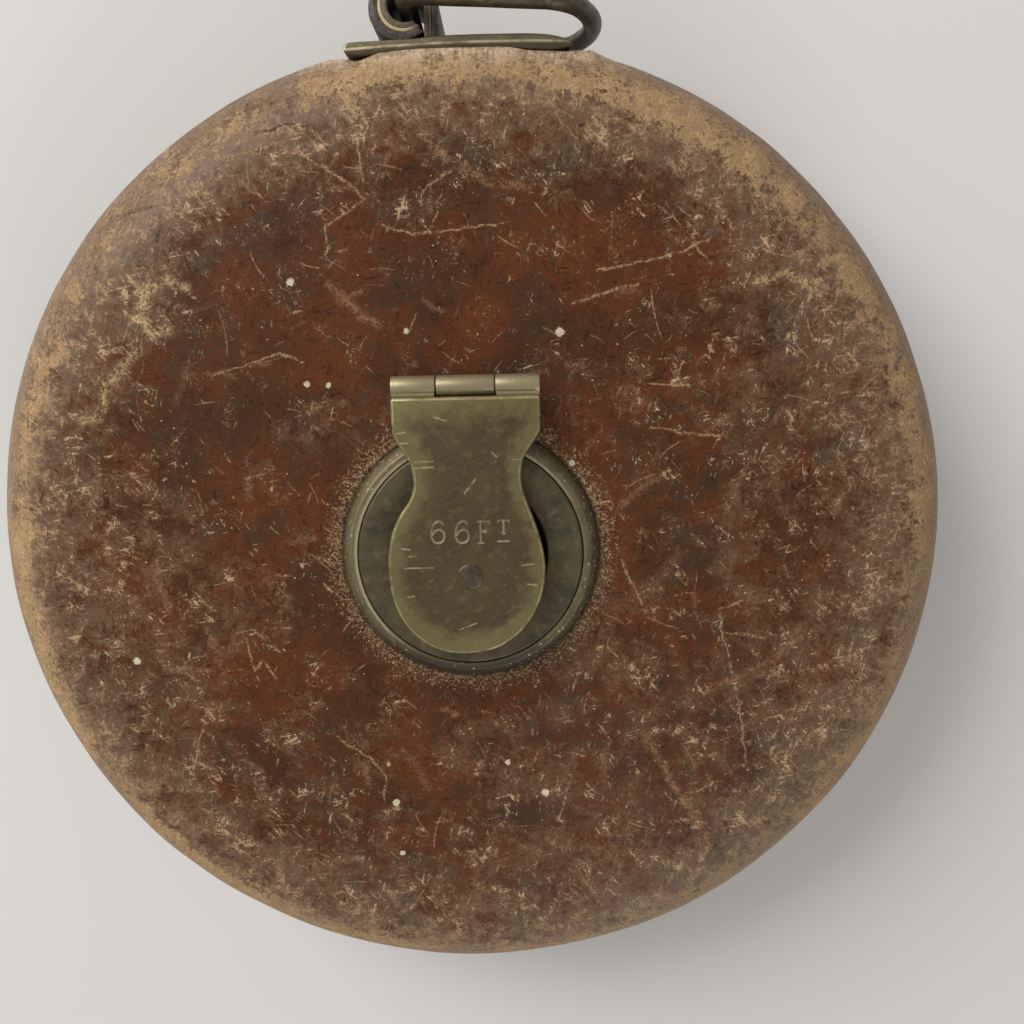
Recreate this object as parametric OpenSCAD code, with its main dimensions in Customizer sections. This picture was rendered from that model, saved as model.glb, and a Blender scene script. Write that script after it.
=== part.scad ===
// Leather-cased surveyor's tape measure with a folding winding handle.
// The case lies on its rear face: +Z is the drum axis, +Y points out of the mouth.

/* [Case] */
// Outside radius of the leather case
case_r = 60; // [58:0.5:62]
// Thickness of the case at the start of its rounded front edge
case_t = 28; // [27.5:0.1:28.5]
// Radius of the rounded edges
edge_r = 10; // [9.5:0.1:10.5]
// How far the front face swells at its centre
dome_rise = 2; // [1.9:0.05:2.2]
// Thickness of the leather
leather_t = 2.5; // [2.4:0.05:2.6]
// Thickness of the tinned steel liner
liner_t = 0.6; // [0.5:0.05:0.7]
// Thickness of the leather strip sewn into the seam
welt_t = 1.2; // [0.8:0.1:2]

/* [Tape] */
// Width of the woven tape
tape_w = 16; // [15:0.1:16.2]
// Thickness of the woven tape
tape_t = 0.42; // [0.3:0.02:0.5]
// Outside radius of the wound tape
coil_r = 54.3; // [52:0.1:54.4]
// Radius of the drum that the tape is wound on
hub_r = 16; // [15.8:0.1:18]

/* [Mouth] */
// Height of the flattened stretch of rim above the drum axis
mouth_y = 57.8; // [57.6:0.1:58.4]
// Length of the mouth plate
plate_l = 26.4; // [24:0.2:28]
// Width of the mouth plate across the rim
plate_w = 18.4; // [18:0.1:20]
// Thickness of the mouth plate at its ends
plate_end_t = 1; // [0.8:0.05:1.2]
// Thickness of the mouth plate in its middle
plate_mid_t = 1.7; // [1.5:0.05:1.75]

/* [Winding gear] */
// Radius of the turning cup in the middle of the front
cup_r = 13.3; // [13:0.05:13.4]
// Radius of the recess that hides the knob
recess_r = 9.9; // [9.5:0.1:10.5]
// Height of the cup's rim above the rear face
cup_top = 31.6; // [31.5:0.05:31.8]
// Radius of the front ferrule where it meets the leather
ferrule_r = 15.3; // [15:0.1:16]

/* [Handle] */
// Distance of the handle's hinge from the drum axis
hinge_y = 20; // [19.5:0.1:21]
// Height of the hinge axis above the rear face
hinge_z = 32; // [31.98:0.01:32.1]
// Outside radius of the hinge knuckles
knuckle_r = 1.25; // [1.1:0.05:1.3]
// Length of the whole hinge
hinge_l = 16.9; // [16:0.1:18]
// Thickness of the handle
flap_t = 1.25; // [1:0.05:1.3]
// Radius of the handle's round end
flap_r = 9.3; // [9:0.1:9.6]
// Largest radius of the knob
knob_r = 5.4; // [4.5:0.1:6]
// Length of the knob
knob_l = 8.6; // [7:0.1:9]

/* [Bail] */
// Radius of the bail's wire
wire_r = 1.15; // [1:0.05:1.3]
// Distance between the two side bars of the bail
bail_w = 22.8; // [22:0.1:24]
// Distance from the bail's hinge bar to its far end
bail_l = 22.2; // [20:0.1:23]
// How far the bail droops from level when at rest
bail_droop = 3; // [0:0.5:5]

/* [Hidden] */
$fn = 128;
fine = 256;
tiny = 0.01;
big = 3 * case_r;

mid_z = case_t / 2;
// The front face is a shallow cap of a large ball, and the rounded edge is tangent to it
cap_r = ((case_r - edge_r) * (case_r - edge_r) + dome_rise * dome_rise) / (2 * dome_rise);
cap_z = case_t + dome_rise - cap_r;
cap_fn = 1440;
edge_z = cap_z + sqrt(pow(cap_r - edge_r, 2) - pow(case_r - edge_r, 2));

leather_gap = 0.05;
liner_out = leather_t + leather_gap;
liner_in = liner_out + liner_t;
running_gap = 0.08;

// The tape's slot and the loop that its end is folded into
loop_in_r = 2;
loop_t = 1.7;
loop_out_r = loop_in_r + loop_t;
loop_gap = 0.1;
plate_top = mouth_y + plate_mid_t;
loop_x = -6;
loop_y = plate_top + loop_out_r + loop_gap;
leg_right = loop_x + loop_out_r;
leg_left = leg_right - loop_t;
leg_mid = (leg_left + leg_right) / 2;
leg_bottom = mouth_y - leather_t + 0.3;
slot_left = leg_left - 0.9;
slot_right = leg_right + 0.9;
slot_w = tape_w + 1;
liner_slot_right = 5;
lead_bend_r = 1;

hub_step_r = hub_r - 1;
cheek_t = 0.5;
cheek_r = coil_r - 0.4;
coil_gap = 0.05;
cup_floor = cup_top - 10.6;
cup_floor_t = 1.5;
spindle_r = 3;
spindle_tip_r = 2;
web_t = 1.5;
collar_t = 0.6;
front_collar_z = 25.3;
hub_front = front_collar_z - 0.1;
rear_bore_r = 7;
rear_lip_r = 8;
rear_plate_r = 15;
rear_plate_t = 1.2;
rear_plate_z = 0.1;
rear_collar_z = 3.6;
rear_collar_t = 0.4;
hub_rear = rear_collar_z + rear_collar_t + 0.1;
journal_z = 0.45;
screw_head_r = 3.2;
screw_head_z = 0.55;
screw_head_t = 1.4;
screw_end_z = 12;

ferrule_bore_r = cup_r + running_gap;
ferrule_tube_r = ferrule_bore_r + 0.7;
ferrule_top = cup_top - 0.1;
ferrule_lip_r = ferrule_tube_r + 0.1;

leaf_t = 0.95;
leaf_w = 11;
leaf_start = 9.2;
leaf_rivet_r = 0.8;
leaf_rivet_x = 3.6;
leaf_rivet_y = 11.2;
knuckle_gap = 0.12;
mid_knuckle_l = 6.6;
hinge_pin_r = 0.6;

flap_z = cup_top + leaf_t + 0.1;
flap_end_y = hinge_y - 1.1;
flap_round_y = -2;
flap_round_long = 2.7;
flap_waist_r = 7.7;
flap_waist_x = 13.9;
flap_waist_y = 10.2;
post_r = 1.2;
post_head_r = 1.5;
post_head_t = 0.25;
knob_gap = 0.15;
knob_bore_r = post_r + 0.06;
knob_top = flap_z - knob_gap;
knob_bottom = knob_top - knob_l;
knob_washer_t = 0.4;
knob_washer_r = 2.2;

// ---- outlines shared by the case pieces ----

// Half outline of the front of the case, drawn in by off
module front_outline(off) {
    tangent_r = (case_r - edge_r) * (cap_r - off) / (cap_r - edge_r);
    intersection() {
        translate([0, cap_z]) circle(r = cap_r - off, $fn = cap_fn);
        translate([0, mid_z]) square([tangent_r, case_t]);
    }
    intersection() {
        translate([case_r - edge_r, edge_z]) circle(r = edge_r - off);
        translate([0, mid_z]) square([case_r, case_t]);
    }
    translate([0, mid_z]) square([case_r - off, edge_z - mid_z]);
}

// Half outline of the rear of the case, drawn in by off
module rear_outline(off) {
    intersection() {
        translate([case_r - edge_r, edge_r]) circle(r = edge_r - off);
        square([case_r, mid_z]);
    }
    translate([0, off]) square([case_r - edge_r, mid_z - off]);
    translate([0, edge_r]) square([case_r - off, mid_z - edge_r]);
}

// Cuts the rim flat at height y for the mouth
module below(y) {
    translate([-big / 2, y, -big / 2]) cube([big, big, big]);
}

// A solid half of the case drawn in by off, with its rim flattened
module front_half(off) {
    difference() {
        rotate_extrude($fn = fine) front_outline(off);
        below(mouth_y - off);
    }
}

module rear_half(off) {
    difference() {
        rotate_extrude($fn = fine) rear_outline(off);
        below(mouth_y - off);
    }
}

module slot(left, right) {
    translate([left, mouth_y - 2 * leather_t, mid_z - slot_w / 2])
        cube([right - left, 4 * leather_t, slot_w]);
}

module rivet_places() {
    for (side = [-1, 1])
        translate([side * (plate_l / 2 - 2.6), 0, mid_z])
            rotate([-90, 0, 0]) children();
}

mouth_rivet_r = 0.5;
mouth_rivet_y = mouth_y - liner_in - 0.5;

module rivet_holes() {
    rivet_places()
        translate([0, 0, mouth_rivet_y]) cylinder(r = mouth_rivet_r, h = case_r);
}

// ---- case ----

module front_cover() {
    color("#5a2a1c") difference() {
        front_half(0);
        translate([0, 0, -tiny]) front_half(leather_t);
        translate([0, 0, mid_z - tiny]) cylinder(r = case_r + 1, h = welt_t / 2 + tiny);
        cylinder(r = ferrule_lip_r, h = big);
        slot(slot_left, slot_right);
    }
}

module rear_cover() {
    color("#5a2a1c") difference() {
        rear_half(0);
        translate([0, 0, tiny]) rear_half(leather_t);
        translate([0, 0, mid_z - welt_t / 2]) cylinder(r = case_r + 1, h = welt_t);
        translate([0, 0, -1]) cylinder(r = rear_plate_r + 0.05, h = rear_plate_z + rear_plate_t + 1);
        cylinder(r = rear_lip_r + 0.05, h = big);
        slot(slot_left, slot_right);
    }
}

// A thin disc across the seam, reaching out to radius r and no higher than y
module seam_disc(r, y, t) {
    translate([0, 0, mid_z - t / 2]) difference() {
        cylinder(r = r, h = t, $fn = fine);
        below(y);
    }
}

module seam_welt() {
    color("#4a2218") difference() {
        seam_disc(case_r + 0.2, mouth_y, welt_t);
        seam_disc(case_r - leather_t, mouth_y - leather_t, 2 * welt_t);
        slot(slot_left, slot_right);
        rivet_holes();
    }
}

stitch_r = 0.35;
stitch_z = 2.6;
stitch_sink = 0.1;
mouth_angle = 19;

module seam_stitching() {
    color("#c9b48a")
        for (side = [-1, 1])
            translate([0, 0, mid_z + side * stitch_z])
                rotate([0, 0, 90 + mouth_angle])
                    rotate_extrude(angle = 360 - 2 * mouth_angle, $fn = fine)
                        translate([case_r - stitch_sink, 0]) circle(r = stitch_r, $fn = 24);
}

module front_liner() {
    color("#8d8f8c") difference() {
        front_half(liner_out);
        translate([0, 0, -tiny]) front_half(liner_in);
        cylinder(r = ferrule_lip_r, h = big);
        slot(slot_left, liner_slot_right);
        rivet_holes();
    }
}

module rear_liner() {
    color("#8d8f8c") difference() {
        rear_half(liner_out);
        translate([0, 0, tiny]) rear_half(liner_in);
        cylinder(r = rear_lip_r + 0.05, h = big);
        slot(slot_left, liner_slot_right);
        rivet_holes();
    }
}

// ---- mouth ----

module plate_outline() {
    rise = plate_mid_t - plate_end_t;
    arc_r = (plate_l * plate_l / 4 + rise * rise) / (2 * rise);
    intersection() {
        translate([-plate_l / 2, mouth_y]) square([plate_l, plate_mid_t]);
        translate([0, plate_top - arc_r]) circle(r = arc_r, $fn = 720);
    }
}

module mouth_plate() {
    color("#8a7a45") difference() {
        translate([0, 0, mid_z - plate_w / 2]) linear_extrude(plate_w) plate_outline();
        slot(slot_left, slot_right);
        rivet_holes();
    }
}

module mouth_rivets() {
    rivet_y = mouth_y + plate_end_t + 0.3;
    color("#8a7a45") rivet_places() {
        translate([0, 0, mouth_rivet_y]) cylinder(r = mouth_rivet_r, h = rivet_y - mouth_rivet_y);
        translate([0, 0, mouth_rivet_y - 0.3]) cylinder(r = 1.3, h = 0.3 + liner_in - leather_t - 0.4);
    }
}

// ---- bearings in the case ----

module front_ferrule() {
    foot_z = cap_z + sqrt(cap_r * cap_r - ferrule_r * ferrule_r);
    color("#55503c") rotate_extrude($fn = fine) polygon([
        [ferrule_bore_r, front_collar_z],
        [ferrule_tube_r + 1.4, front_collar_z],
        [ferrule_tube_r + 1.4, front_collar_z + collar_t],
        [ferrule_tube_r, front_collar_z + collar_t],
        [ferrule_tube_r, case_t + dome_rise],
        [ferrule_lip_r + 0.1, case_t + dome_rise],
        [ferrule_r, foot_z + 0.1],
        [ferrule_r, foot_z + 0.35],
        [ferrule_bore_r + 0.9, ferrule_top],
        [ferrule_bore_r, ferrule_top]]);
}

module front_washer() {
    washer_r = ferrule_tube_r + 4;
    color("#8a7a45") translate([0, 0, front_collar_z + collar_t]) difference() {
        cylinder(r = washer_r, h = 0.55);
        translate([0, 0, -1]) cylinder(r = ferrule_tube_r + tiny, h = 3);
    }
}

module rear_ferrule() {
    color("#55503c") rotate_extrude($fn = fine) polygon([
        [rear_bore_r, rear_plate_z],
        [rear_plate_r - 0.5, rear_plate_z],
        [rear_plate_r, rear_plate_z + 0.5],
        [rear_plate_r, rear_plate_z + rear_plate_t],
        [rear_lip_r, rear_plate_z + rear_plate_t],
        [rear_lip_r, rear_collar_z],
        [rear_lip_r + 2, rear_collar_z],
        [rear_lip_r + 2, rear_collar_z + rear_collar_t],
        [rear_bore_r, rear_collar_z + rear_collar_t]]);
}

module rear_washer() {
    washer_z = liner_in + 0.05;
    color("#8a7a45") translate([0, 0, washer_z]) difference() {
        cylinder(r = rear_lip_r + 4, h = rear_collar_z - washer_z);
        translate([0, 0, -1]) cylinder(r = rear_lip_r + tiny, h = 3);
    }
}

// ---- drum ----

module winding_cup() {
    chamfer = 0.4;
    color("#4b4a40") difference() {
        rotate_extrude($fn = fine) polygon([
            [0, cup_floor - cup_floor_t],
            [cup_r, cup_floor - cup_floor_t],
            [cup_r, cup_top - chamfer / 2],
            [cup_r - chamfer / 2, cup_top],
            [recess_r + chamfer, cup_top],
            [recess_r, cup_top - chamfer],
            [recess_r, cup_floor],
            [0, cup_floor]]);
        translate([0, 0, cup_floor - 2 * cup_floor_t])
            cylinder(r = spindle_tip_r, h = 3 * cup_floor_t);
        leaf_rivet_places() translate([0, 0, cup_top - 3]) cylinder(r = leaf_rivet_r, h = 5);
    }
}

module spindle() {
    color("#6d6a60") difference() {
        union() {
            translate([0, 0, hub_rear]) cylinder(r = spindle_r, h = cup_floor - cup_floor_t - hub_rear);
            translate([0, 0, hub_rear]) cylinder(r = spindle_tip_r, h = cup_floor - hub_rear + 0.3);
        }
        translate([0, 0, hub_rear - 1]) cylinder(r = spindle_tip_r - 0.5, h = screw_end_z + 1.5 - hub_rear);
    }
}

anchor_r = 0.7;
anchor_at = hub_step_r - anchor_r - 0.1;

module drum_hub() {
    bore_r = cup_r;
    color("#8a7a45") difference() {
        rotate_extrude($fn = fine) polygon([
            [spindle_r, hub_rear],
            [hub_step_r, hub_rear],
            [hub_step_r, mid_z - tape_w / 2 - coil_gap],
            [hub_r, mid_z - tape_w / 2 - coil_gap],
            [hub_r, mid_z + tape_w / 2 + coil_gap],
            [hub_step_r, mid_z + tape_w / 2 + coil_gap],
            [hub_step_r, hub_front],
            [bore_r, hub_front],
            [bore_r, hub_rear + web_t],
            [spindle_r, hub_rear + web_t]]);
        translate([-anchor_at, 0, hub_rear - 1]) cylinder(r = anchor_r, h = hub_front, $fn = 48);
    }
}

module cheek() {
    difference() {
        cylinder(r = cheek_r, h = cheek_t, $fn = fine);
        translate([0, 0, -1]) cylinder(r = hub_step_r + tiny, h = 3, $fn = fine);
    }
}

module front_cheek() {
    color("#8d8f8c") translate([0, 0, mid_z + tape_w / 2 + coil_gap]) cheek();
}

module rear_cheek() {
    color("#8d8f8c") translate([0, 0, mid_z - tape_w / 2 - coil_gap - cheek_t]) cheek();
}

module rear_journal() {
    journal_r = rear_bore_r - running_gap;
    screw_r = spindle_tip_r - 0.5;
    color("#55503c") rotate_extrude($fn = fine) polygon([
        [screw_r, hub_rear],
        [journal_r, hub_rear],
        [journal_r, journal_z + 0.4],
        [journal_r - 0.4, journal_z],
        [screw_head_r + 0.1, journal_z],
        [screw_head_r + 0.1, screw_head_z + screw_head_t],
        [screw_r, screw_head_z + screw_head_t]]);
}

module spindle_screw() {
    screw_r = spindle_tip_r - 0.5;
    color("#6d6a60") difference() {
        union() {
            translate([0, 0, screw_head_z]) cylinder(r = screw_head_r, h = screw_head_t);
            translate([0, 0, screw_head_z]) cylinder(r = screw_r, h = screw_end_z - screw_head_z);
        }
        translate([-screw_head_r - 1, -0.4, screw_head_z - 1])
            cube([2 * screw_head_r + 2, 0.8, 1.6]);
    }
}

module tape_anchor_pin() {
    color("#6d6a60") translate([-anchor_at, 0, hub_rear + 0.2])
        cylinder(r = anchor_r, h = hub_front - hub_rear - 0.4, $fn = 48);
}

// ---- tape ----

module tape_coil() {
    color("#b9ae8c") translate([0, 0, mid_z - tape_w / 2]) difference() {
        cylinder(r = coil_r, h = tape_w, $fn = fine);
        translate([0, 0, -1]) cylinder(r = hub_r + coil_gap, h = tape_w + 2, $fn = fine);
    }
}

// The stretch of tape from where it leaves the coil to the leather end:
// along the tangent of the coil, then round a quarter bend into the slot
lead_low = coil_r + tape_t / 2 + coil_gap;
lead_corner = [leg_mid + lead_bend_r, leg_bottom - lead_bend_r];
lead_corner_r = norm(lead_corner);
lead_peel = atan2(lead_corner[1], lead_corner[0]) - acos(min(1, lead_low / lead_corner_r));
lead_peel_point = [lead_low * cos(lead_peel), lead_low * sin(lead_peel)];

function bend_point(r, a) = [leg_mid + lead_bend_r + r * cos(a), leg_bottom + r * sin(a)];

module tape_lead() {
    half = tape_t / 2;
    steps = 10;
    start_a = lead_peel + 180;
    outer = [for (i = [0:steps]) bend_point(lead_bend_r + half, start_a + (180 - start_a) * i / steps)];
    inner = [for (i = [steps:-1:0]) bend_point(lead_bend_r - half, start_a + (180 - start_a) * i / steps)];
    across = [cos(lead_peel), sin(lead_peel)];
    color("#b9ae8c") translate([0, 0, mid_z - tape_w / 2]) linear_extrude(tape_w)
        polygon(concat([lead_peel_point - half * across], outer, inner, [lead_peel_point + half * across]));
}

module tape_end_loop() {
    color("#4b3226") translate([0, 0, mid_z - tape_w / 2]) linear_extrude(tape_w) {
        translate([loop_x, loop_y]) difference() {
            circle(r = loop_out_r);
            circle(r = loop_in_r);
        }
        translate([leg_left, leg_bottom]) square([loop_t, loop_y - leg_bottom]);
    }
}

// ---- bail ----

end_bow_r = 18;
end_corner_r = 5;
hinge_corner_r = 2.6;

bail_half_w = bail_w / 2;
bow_x = bail_l - end_bow_r;
bow_a = asin((bail_half_w - end_corner_r) / (end_bow_r - end_corner_r));
end_corner_x = bow_x + (end_bow_r - end_corner_r) * cos(bow_a);
wire_sides = 16;

// Points along an arc in the bail's plane, each with its heading
function arc_points(x, z, r, a0, a1, steps) = [
    for (i = [0:steps])
        let (a = a0 + (a1 - a0) * i / steps)
        [x + r * cos(a), z + r * sin(a), a]];

// The wire's centre line: hinge corner, near side, bowed end, far side, hinge corner
bail_path = concat(
    arc_points(hinge_corner_r, bail_half_w - hinge_corner_r, hinge_corner_r, 180, 90, 6),
    arc_points(end_corner_x, bail_half_w - end_corner_r, end_corner_r, 90, bow_a, 6),
    arc_points(bow_x, 0, end_bow_r, bow_a - 6, 6 - bow_a, 6),
    arc_points(end_corner_x, end_corner_r - bail_half_w, end_corner_r, -bow_a, -90, 6),
    arc_points(hinge_corner_r, hinge_corner_r - bail_half_w, hinge_corner_r, -90, -180, 6));

function wire_point(p, turn) = [
    p[0] + wire_r * cos(turn) * cos(p[2]), wire_r * sin(turn), p[1] + wire_r * cos(turn) * sin(p[2])];

module bail() {
    rings = len(bail_path);
    points = [for (p = bail_path, i = [0:wire_sides - 1]) wire_point(p, 360 * i / wire_sides)];
    faces = [for (ring = [0:rings - 1], i = [0:wire_sides - 1])
        let (next = (ring + 1) % rings, j = (i + 1) % wire_sides)
        [ring * wire_sides + i, ring * wire_sides + j, next * wire_sides + j, next * wire_sides + i]];
    color("#57513a") translate([loop_x, loop_y, mid_z]) rotate([0, 0, -bail_droop])
        polyhedron(points = points, faces = faces);
}

// ---- winding handle ----

module leaf_rivet_places() {
    for (side = [-1, 1])
        translate([side * leaf_rivet_x, leaf_rivet_y, 0]) children();
}

module knuckle(x0, x1) {
    translate([x0, hinge_y, hinge_z]) rotate([0, 90, 0]) cylinder(r = knuckle_r, h = x1 - x0, $fn = 64);
}

module pin_hole(r) {
    translate([-hinge_l, hinge_y, hinge_z]) rotate([0, 90, 0]) cylinder(r = r, h = 2 * hinge_l, $fn = 64);
}

module hinge_leaf() {
    knuckle_half = mid_knuckle_l / 2;
    plate_end = hinge_y - knuckle_r - 0.25;
    color("#6f6740") difference() {
        union() {
            translate([-leaf_w / 2, leaf_start, cup_top]) cube([leaf_w, plate_end - leaf_start, leaf_t]);
            translate([-knuckle_half, plate_end - tiny, cup_top]) cube([mid_knuckle_l, 1, leaf_t]);
            knuckle(-knuckle_half, knuckle_half);
        }
        pin_hole(hinge_pin_r);
        leaf_rivet_places() translate([0, 0, cup_top - 1]) cylinder(r = leaf_rivet_r, h = 5);
    }
}

module leaf_rivets() {
    color("#8a7a45") leaf_rivet_places()
        translate([0, 0, cup_top - 3]) cylinder(r = leaf_rivet_r, h = 3 + leaf_t);
}

module hinge_pin() {
    color("#6d6a60") translate([-hinge_l / 2, hinge_y, hinge_z]) rotate([0, 90, 0])
        cylinder(r = hinge_pin_r, h = hinge_l, $fn = 64);
}

module flap_outline() {
    difference() {
        union() {
            translate([-hinge_l / 2, flap_round_y]) square([hinge_l, flap_end_y - flap_round_y]);
            for (up = [0, flap_round_long])
                translate([0, flap_round_y + up]) circle(r = flap_r);
            translate([-flap_r, flap_round_y]) square([2 * flap_r, flap_round_long]);
        }
        for (side = [-1, 1])
            translate([side * flap_waist_x, flap_waist_y]) circle(r = flap_waist_r);
    }
}

module handle_flap() {
    outer_from = mid_knuckle_l / 2 + knuckle_gap;
    outer_l = hinge_l / 2 - outer_from;
    color("#7a7044") difference() {
        union() {
            translate([0, 0, flap_z]) linear_extrude(flap_t) flap_outline();
            for (x = [-hinge_l / 2, outer_from]) {
                knuckle(x, x + outer_l);
                translate([x, flap_end_y - 0.2, flap_z]) cube([outer_l, 0.9, 0.4]);
            }
        }
        pin_hole(hinge_pin_r + 0.05);
        translate([0, flap_round_y, flap_z - 1]) cylinder(r = post_r, h = 4, $fn = 64);
    }
}

module handle_post() {
    color("#6f6740") translate([0, flap_round_y, 0]) {
        translate([0, 0, knob_bottom - knob_washer_t - 0.3])
            cylinder(r = post_r, h = flap_z + flap_t - knob_bottom + knob_washer_t + 0.3, $fn = 64);
        translate([0, 0, flap_z + flap_t]) cylinder(r1 = post_head_r, r2 = post_head_r - 0.25, h = post_head_t, $fn = 64);
    }
}

module knob_washer() {
    color("#8a7a45") translate([0, flap_round_y, knob_bottom - knob_washer_t - 0.05]) difference() {
        cylinder(r = knob_washer_r, h = knob_washer_t, $fn = 64);
        translate([0, 0, -1]) cylinder(r = post_r, h = 3, $fn = 64);
    }
}

// A turned button: a small foot by the handle, a hollow neck and a full round end
module knob() {
    foot_r = 3.8;
    neck_r = 2.9;
    bulb_h = 4.6;
    neck_cut_r = 2.2;
    color("#3a2a1e") translate([0, flap_round_y, 0]) rotate_extrude() difference() {
        union() {
            translate([0, knob_top - 1]) square([foot_r, 1]);
            translate([0, knob_bottom]) square([neck_r + 1.2, knob_l - 0.5]);
            translate([0, knob_bottom]) square([knob_r - bulb_h / 2, bulb_h]);
            translate([knob_r - bulb_h / 2, knob_bottom + bulb_h / 2]) circle(r = bulb_h / 2, $fn = 64);
        }
        translate([neck_r + neck_cut_r, knob_bottom + bulb_h + 1.5]) circle(r = neck_cut_r, $fn = 64);
        translate([-case_r, 0]) square([case_r + knob_bore_r, big]);
    }
}

front_cover();
rear_cover();
seam_welt();
seam_stitching();
front_liner();
rear_liner();
mouth_plate();
mouth_rivets();
front_ferrule();
front_washer();
rear_ferrule();
rear_washer();
winding_cup();
spindle();
drum_hub();
front_cheek();
rear_cheek();
rear_journal();
spindle_screw();
tape_anchor_pin();
tape_coil();
tape_lead();
tape_end_loop();
bail();
hinge_leaf();
leaf_rivets();
hinge_pin();
handle_flap();
handle_post();
knob_washer();
knob();
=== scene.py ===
import math

import bpy
from mathutils import Matrix, Vector


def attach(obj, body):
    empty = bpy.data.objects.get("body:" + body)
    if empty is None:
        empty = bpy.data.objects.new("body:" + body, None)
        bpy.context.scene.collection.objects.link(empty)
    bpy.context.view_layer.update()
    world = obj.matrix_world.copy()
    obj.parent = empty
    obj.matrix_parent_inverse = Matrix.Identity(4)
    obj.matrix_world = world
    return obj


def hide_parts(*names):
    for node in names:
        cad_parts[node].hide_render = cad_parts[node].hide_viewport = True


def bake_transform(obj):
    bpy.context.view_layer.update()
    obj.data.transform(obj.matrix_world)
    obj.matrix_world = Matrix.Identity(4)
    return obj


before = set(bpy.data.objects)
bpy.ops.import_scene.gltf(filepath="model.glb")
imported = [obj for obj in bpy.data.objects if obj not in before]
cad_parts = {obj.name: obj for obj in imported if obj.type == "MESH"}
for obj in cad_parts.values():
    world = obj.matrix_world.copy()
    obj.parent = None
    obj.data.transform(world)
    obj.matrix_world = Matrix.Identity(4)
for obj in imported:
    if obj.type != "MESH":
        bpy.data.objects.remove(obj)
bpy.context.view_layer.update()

# The drum turns about Z and the tape comes out along +Y. Pieces are modelled in millimetres
# and brought to metres when they are finished.
mm = 0.001


def deselectAll():
    bpy.ops.object.select_all(action="DESELECT")


def pickOnly(piece):
    deselectAll()
    piece.select_set(True)
    bpy.context.view_layer.objects.active = piece


def editAll(piece):
    pickOnly(piece)
    bpy.ops.object.mode_set(mode="EDIT")
    bpy.ops.mesh.select_all(action="SELECT")


def objectMode():
    bpy.ops.object.mode_set(mode="OBJECT")


def applyPlace():
    bpy.ops.object.transform_apply(location=True, rotation=True, scale=True)


def facesOut():
    # every face turned outwards, and back to object mode
    bpy.ops.mesh.select_all(action="SELECT")
    bpy.ops.mesh.normals_make_consistent(inside=False)
    objectMode()


def startPoint(name, place):
    # a plane drawn together into one vertex, ready to be extruded
    deselectAll()
    bpy.ops.mesh.primitive_plane_add(size=1)
    piece = bpy.context.object
    piece.name = name
    editAll(piece)
    bpy.ops.mesh.merge(type="CENTER")
    bpy.ops.transform.translate(value=place)
    return piece


def drawAlong(points):
    for here, there in zip(points, points[1:]):
        step = [b - a for a, b in zip(here, there)]
        bpy.ops.mesh.extrude_vertices_move(TRANSFORM_OT_translate={"value": step})


def weld():
    bpy.ops.mesh.select_all(action="SELECT")
    bpy.ops.mesh.remove_doubles(threshold=0.0005)


def turned(name, profile, steps=180, closed=True):
    # a profile of (radius, height) points, spun round the drum axis
    line = [(radius, 0, height) for radius, height in profile]
    piece = startPoint(name, line[0])
    drawAlong(line + line[:1] if closed else line)
    weld()
    bpy.ops.mesh.spin(steps=steps, angle=2 * math.pi, center=(0, 0, 0), axis=(0, 0, 1))
    weld()
    facesOut()
    return piece


def plateShape(name, outline, low, high):
    # an outline in the XY plane, filled and extruded upwards
    line = [(x, y, low) for x, y in outline]
    piece = startPoint(name, line[0])
    drawAlong(line + line[:1])
    weld()
    bpy.ops.mesh.edge_face_add()
    bpy.ops.mesh.extrude_region_move(TRANSFORM_OT_translate={"value": (0, 0, high - low)})
    facesOut()
    return piece


def rod(name, start, axis, length, radius, sides):
    # a cylinder from a point along X, Y or Z
    turn = {"x": (0, math.pi / 2, 0), "y": (-math.pi / 2, 0, 0), "z": (0, 0, 0)}[axis]
    middle = list(start)
    middle["xyz".index(axis)] += length / 2
    deselectAll()
    bpy.ops.mesh.primitive_cylinder_add(
        vertices=sides, radius=radius, depth=length, location=middle, rotation=turn)
    applyPlace()
    bpy.context.object.name = name
    return bpy.context.object


def block(name, low, high):
    deselectAll()
    bpy.ops.mesh.primitive_cube_add(
        size=1,
        location=[(a + b) / 2 for a, b in zip(low, high)],
        scale=[b - a for a, b in zip(low, high)])
    applyPlace()
    bpy.context.object.name = name
    return bpy.context.object


def applied(piece, kind, settings):
    pickOnly(piece)
    modifier = piece.modifiers.new(kind.title(), kind)
    for key, value in settings.items():
        setattr(modifier, key, value)
    bpy.ops.object.modifier_apply(modifier=modifier.name)


def carve(piece, cutter, operation="DIFFERENCE", transfer="INDEX"):
    applied(piece, "BOOLEAN", {
        "object": cutter, "operation": operation, "solver": "EXACT", "material_mode": transfer,
        "use_self": transfer == "TRANSFER"})
    bpy.data.objects.remove(cutter)


def softened(piece, width, segments=3, angle=30, edgeSlot=-1):
    applied(piece, "BEVEL", {
        "width": width, "segments": segments, "limit_method": "ANGLE",
        "angle_limit": math.radians(angle), "harden_normals": False, "material": edgeSlot})
    return piece


def uneven(piece, name, size, depth):
    # small hand-made swells in the surface
    swell = bpy.data.textures.new(name, "CLOUDS")
    swell.noise_scale = size
    swell.noise_depth = 2
    applied(piece, "DISPLACE", {
        "texture": swell, "texture_coords": "LOCAL", "strength": depth, "mid_level": 0.5})


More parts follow.
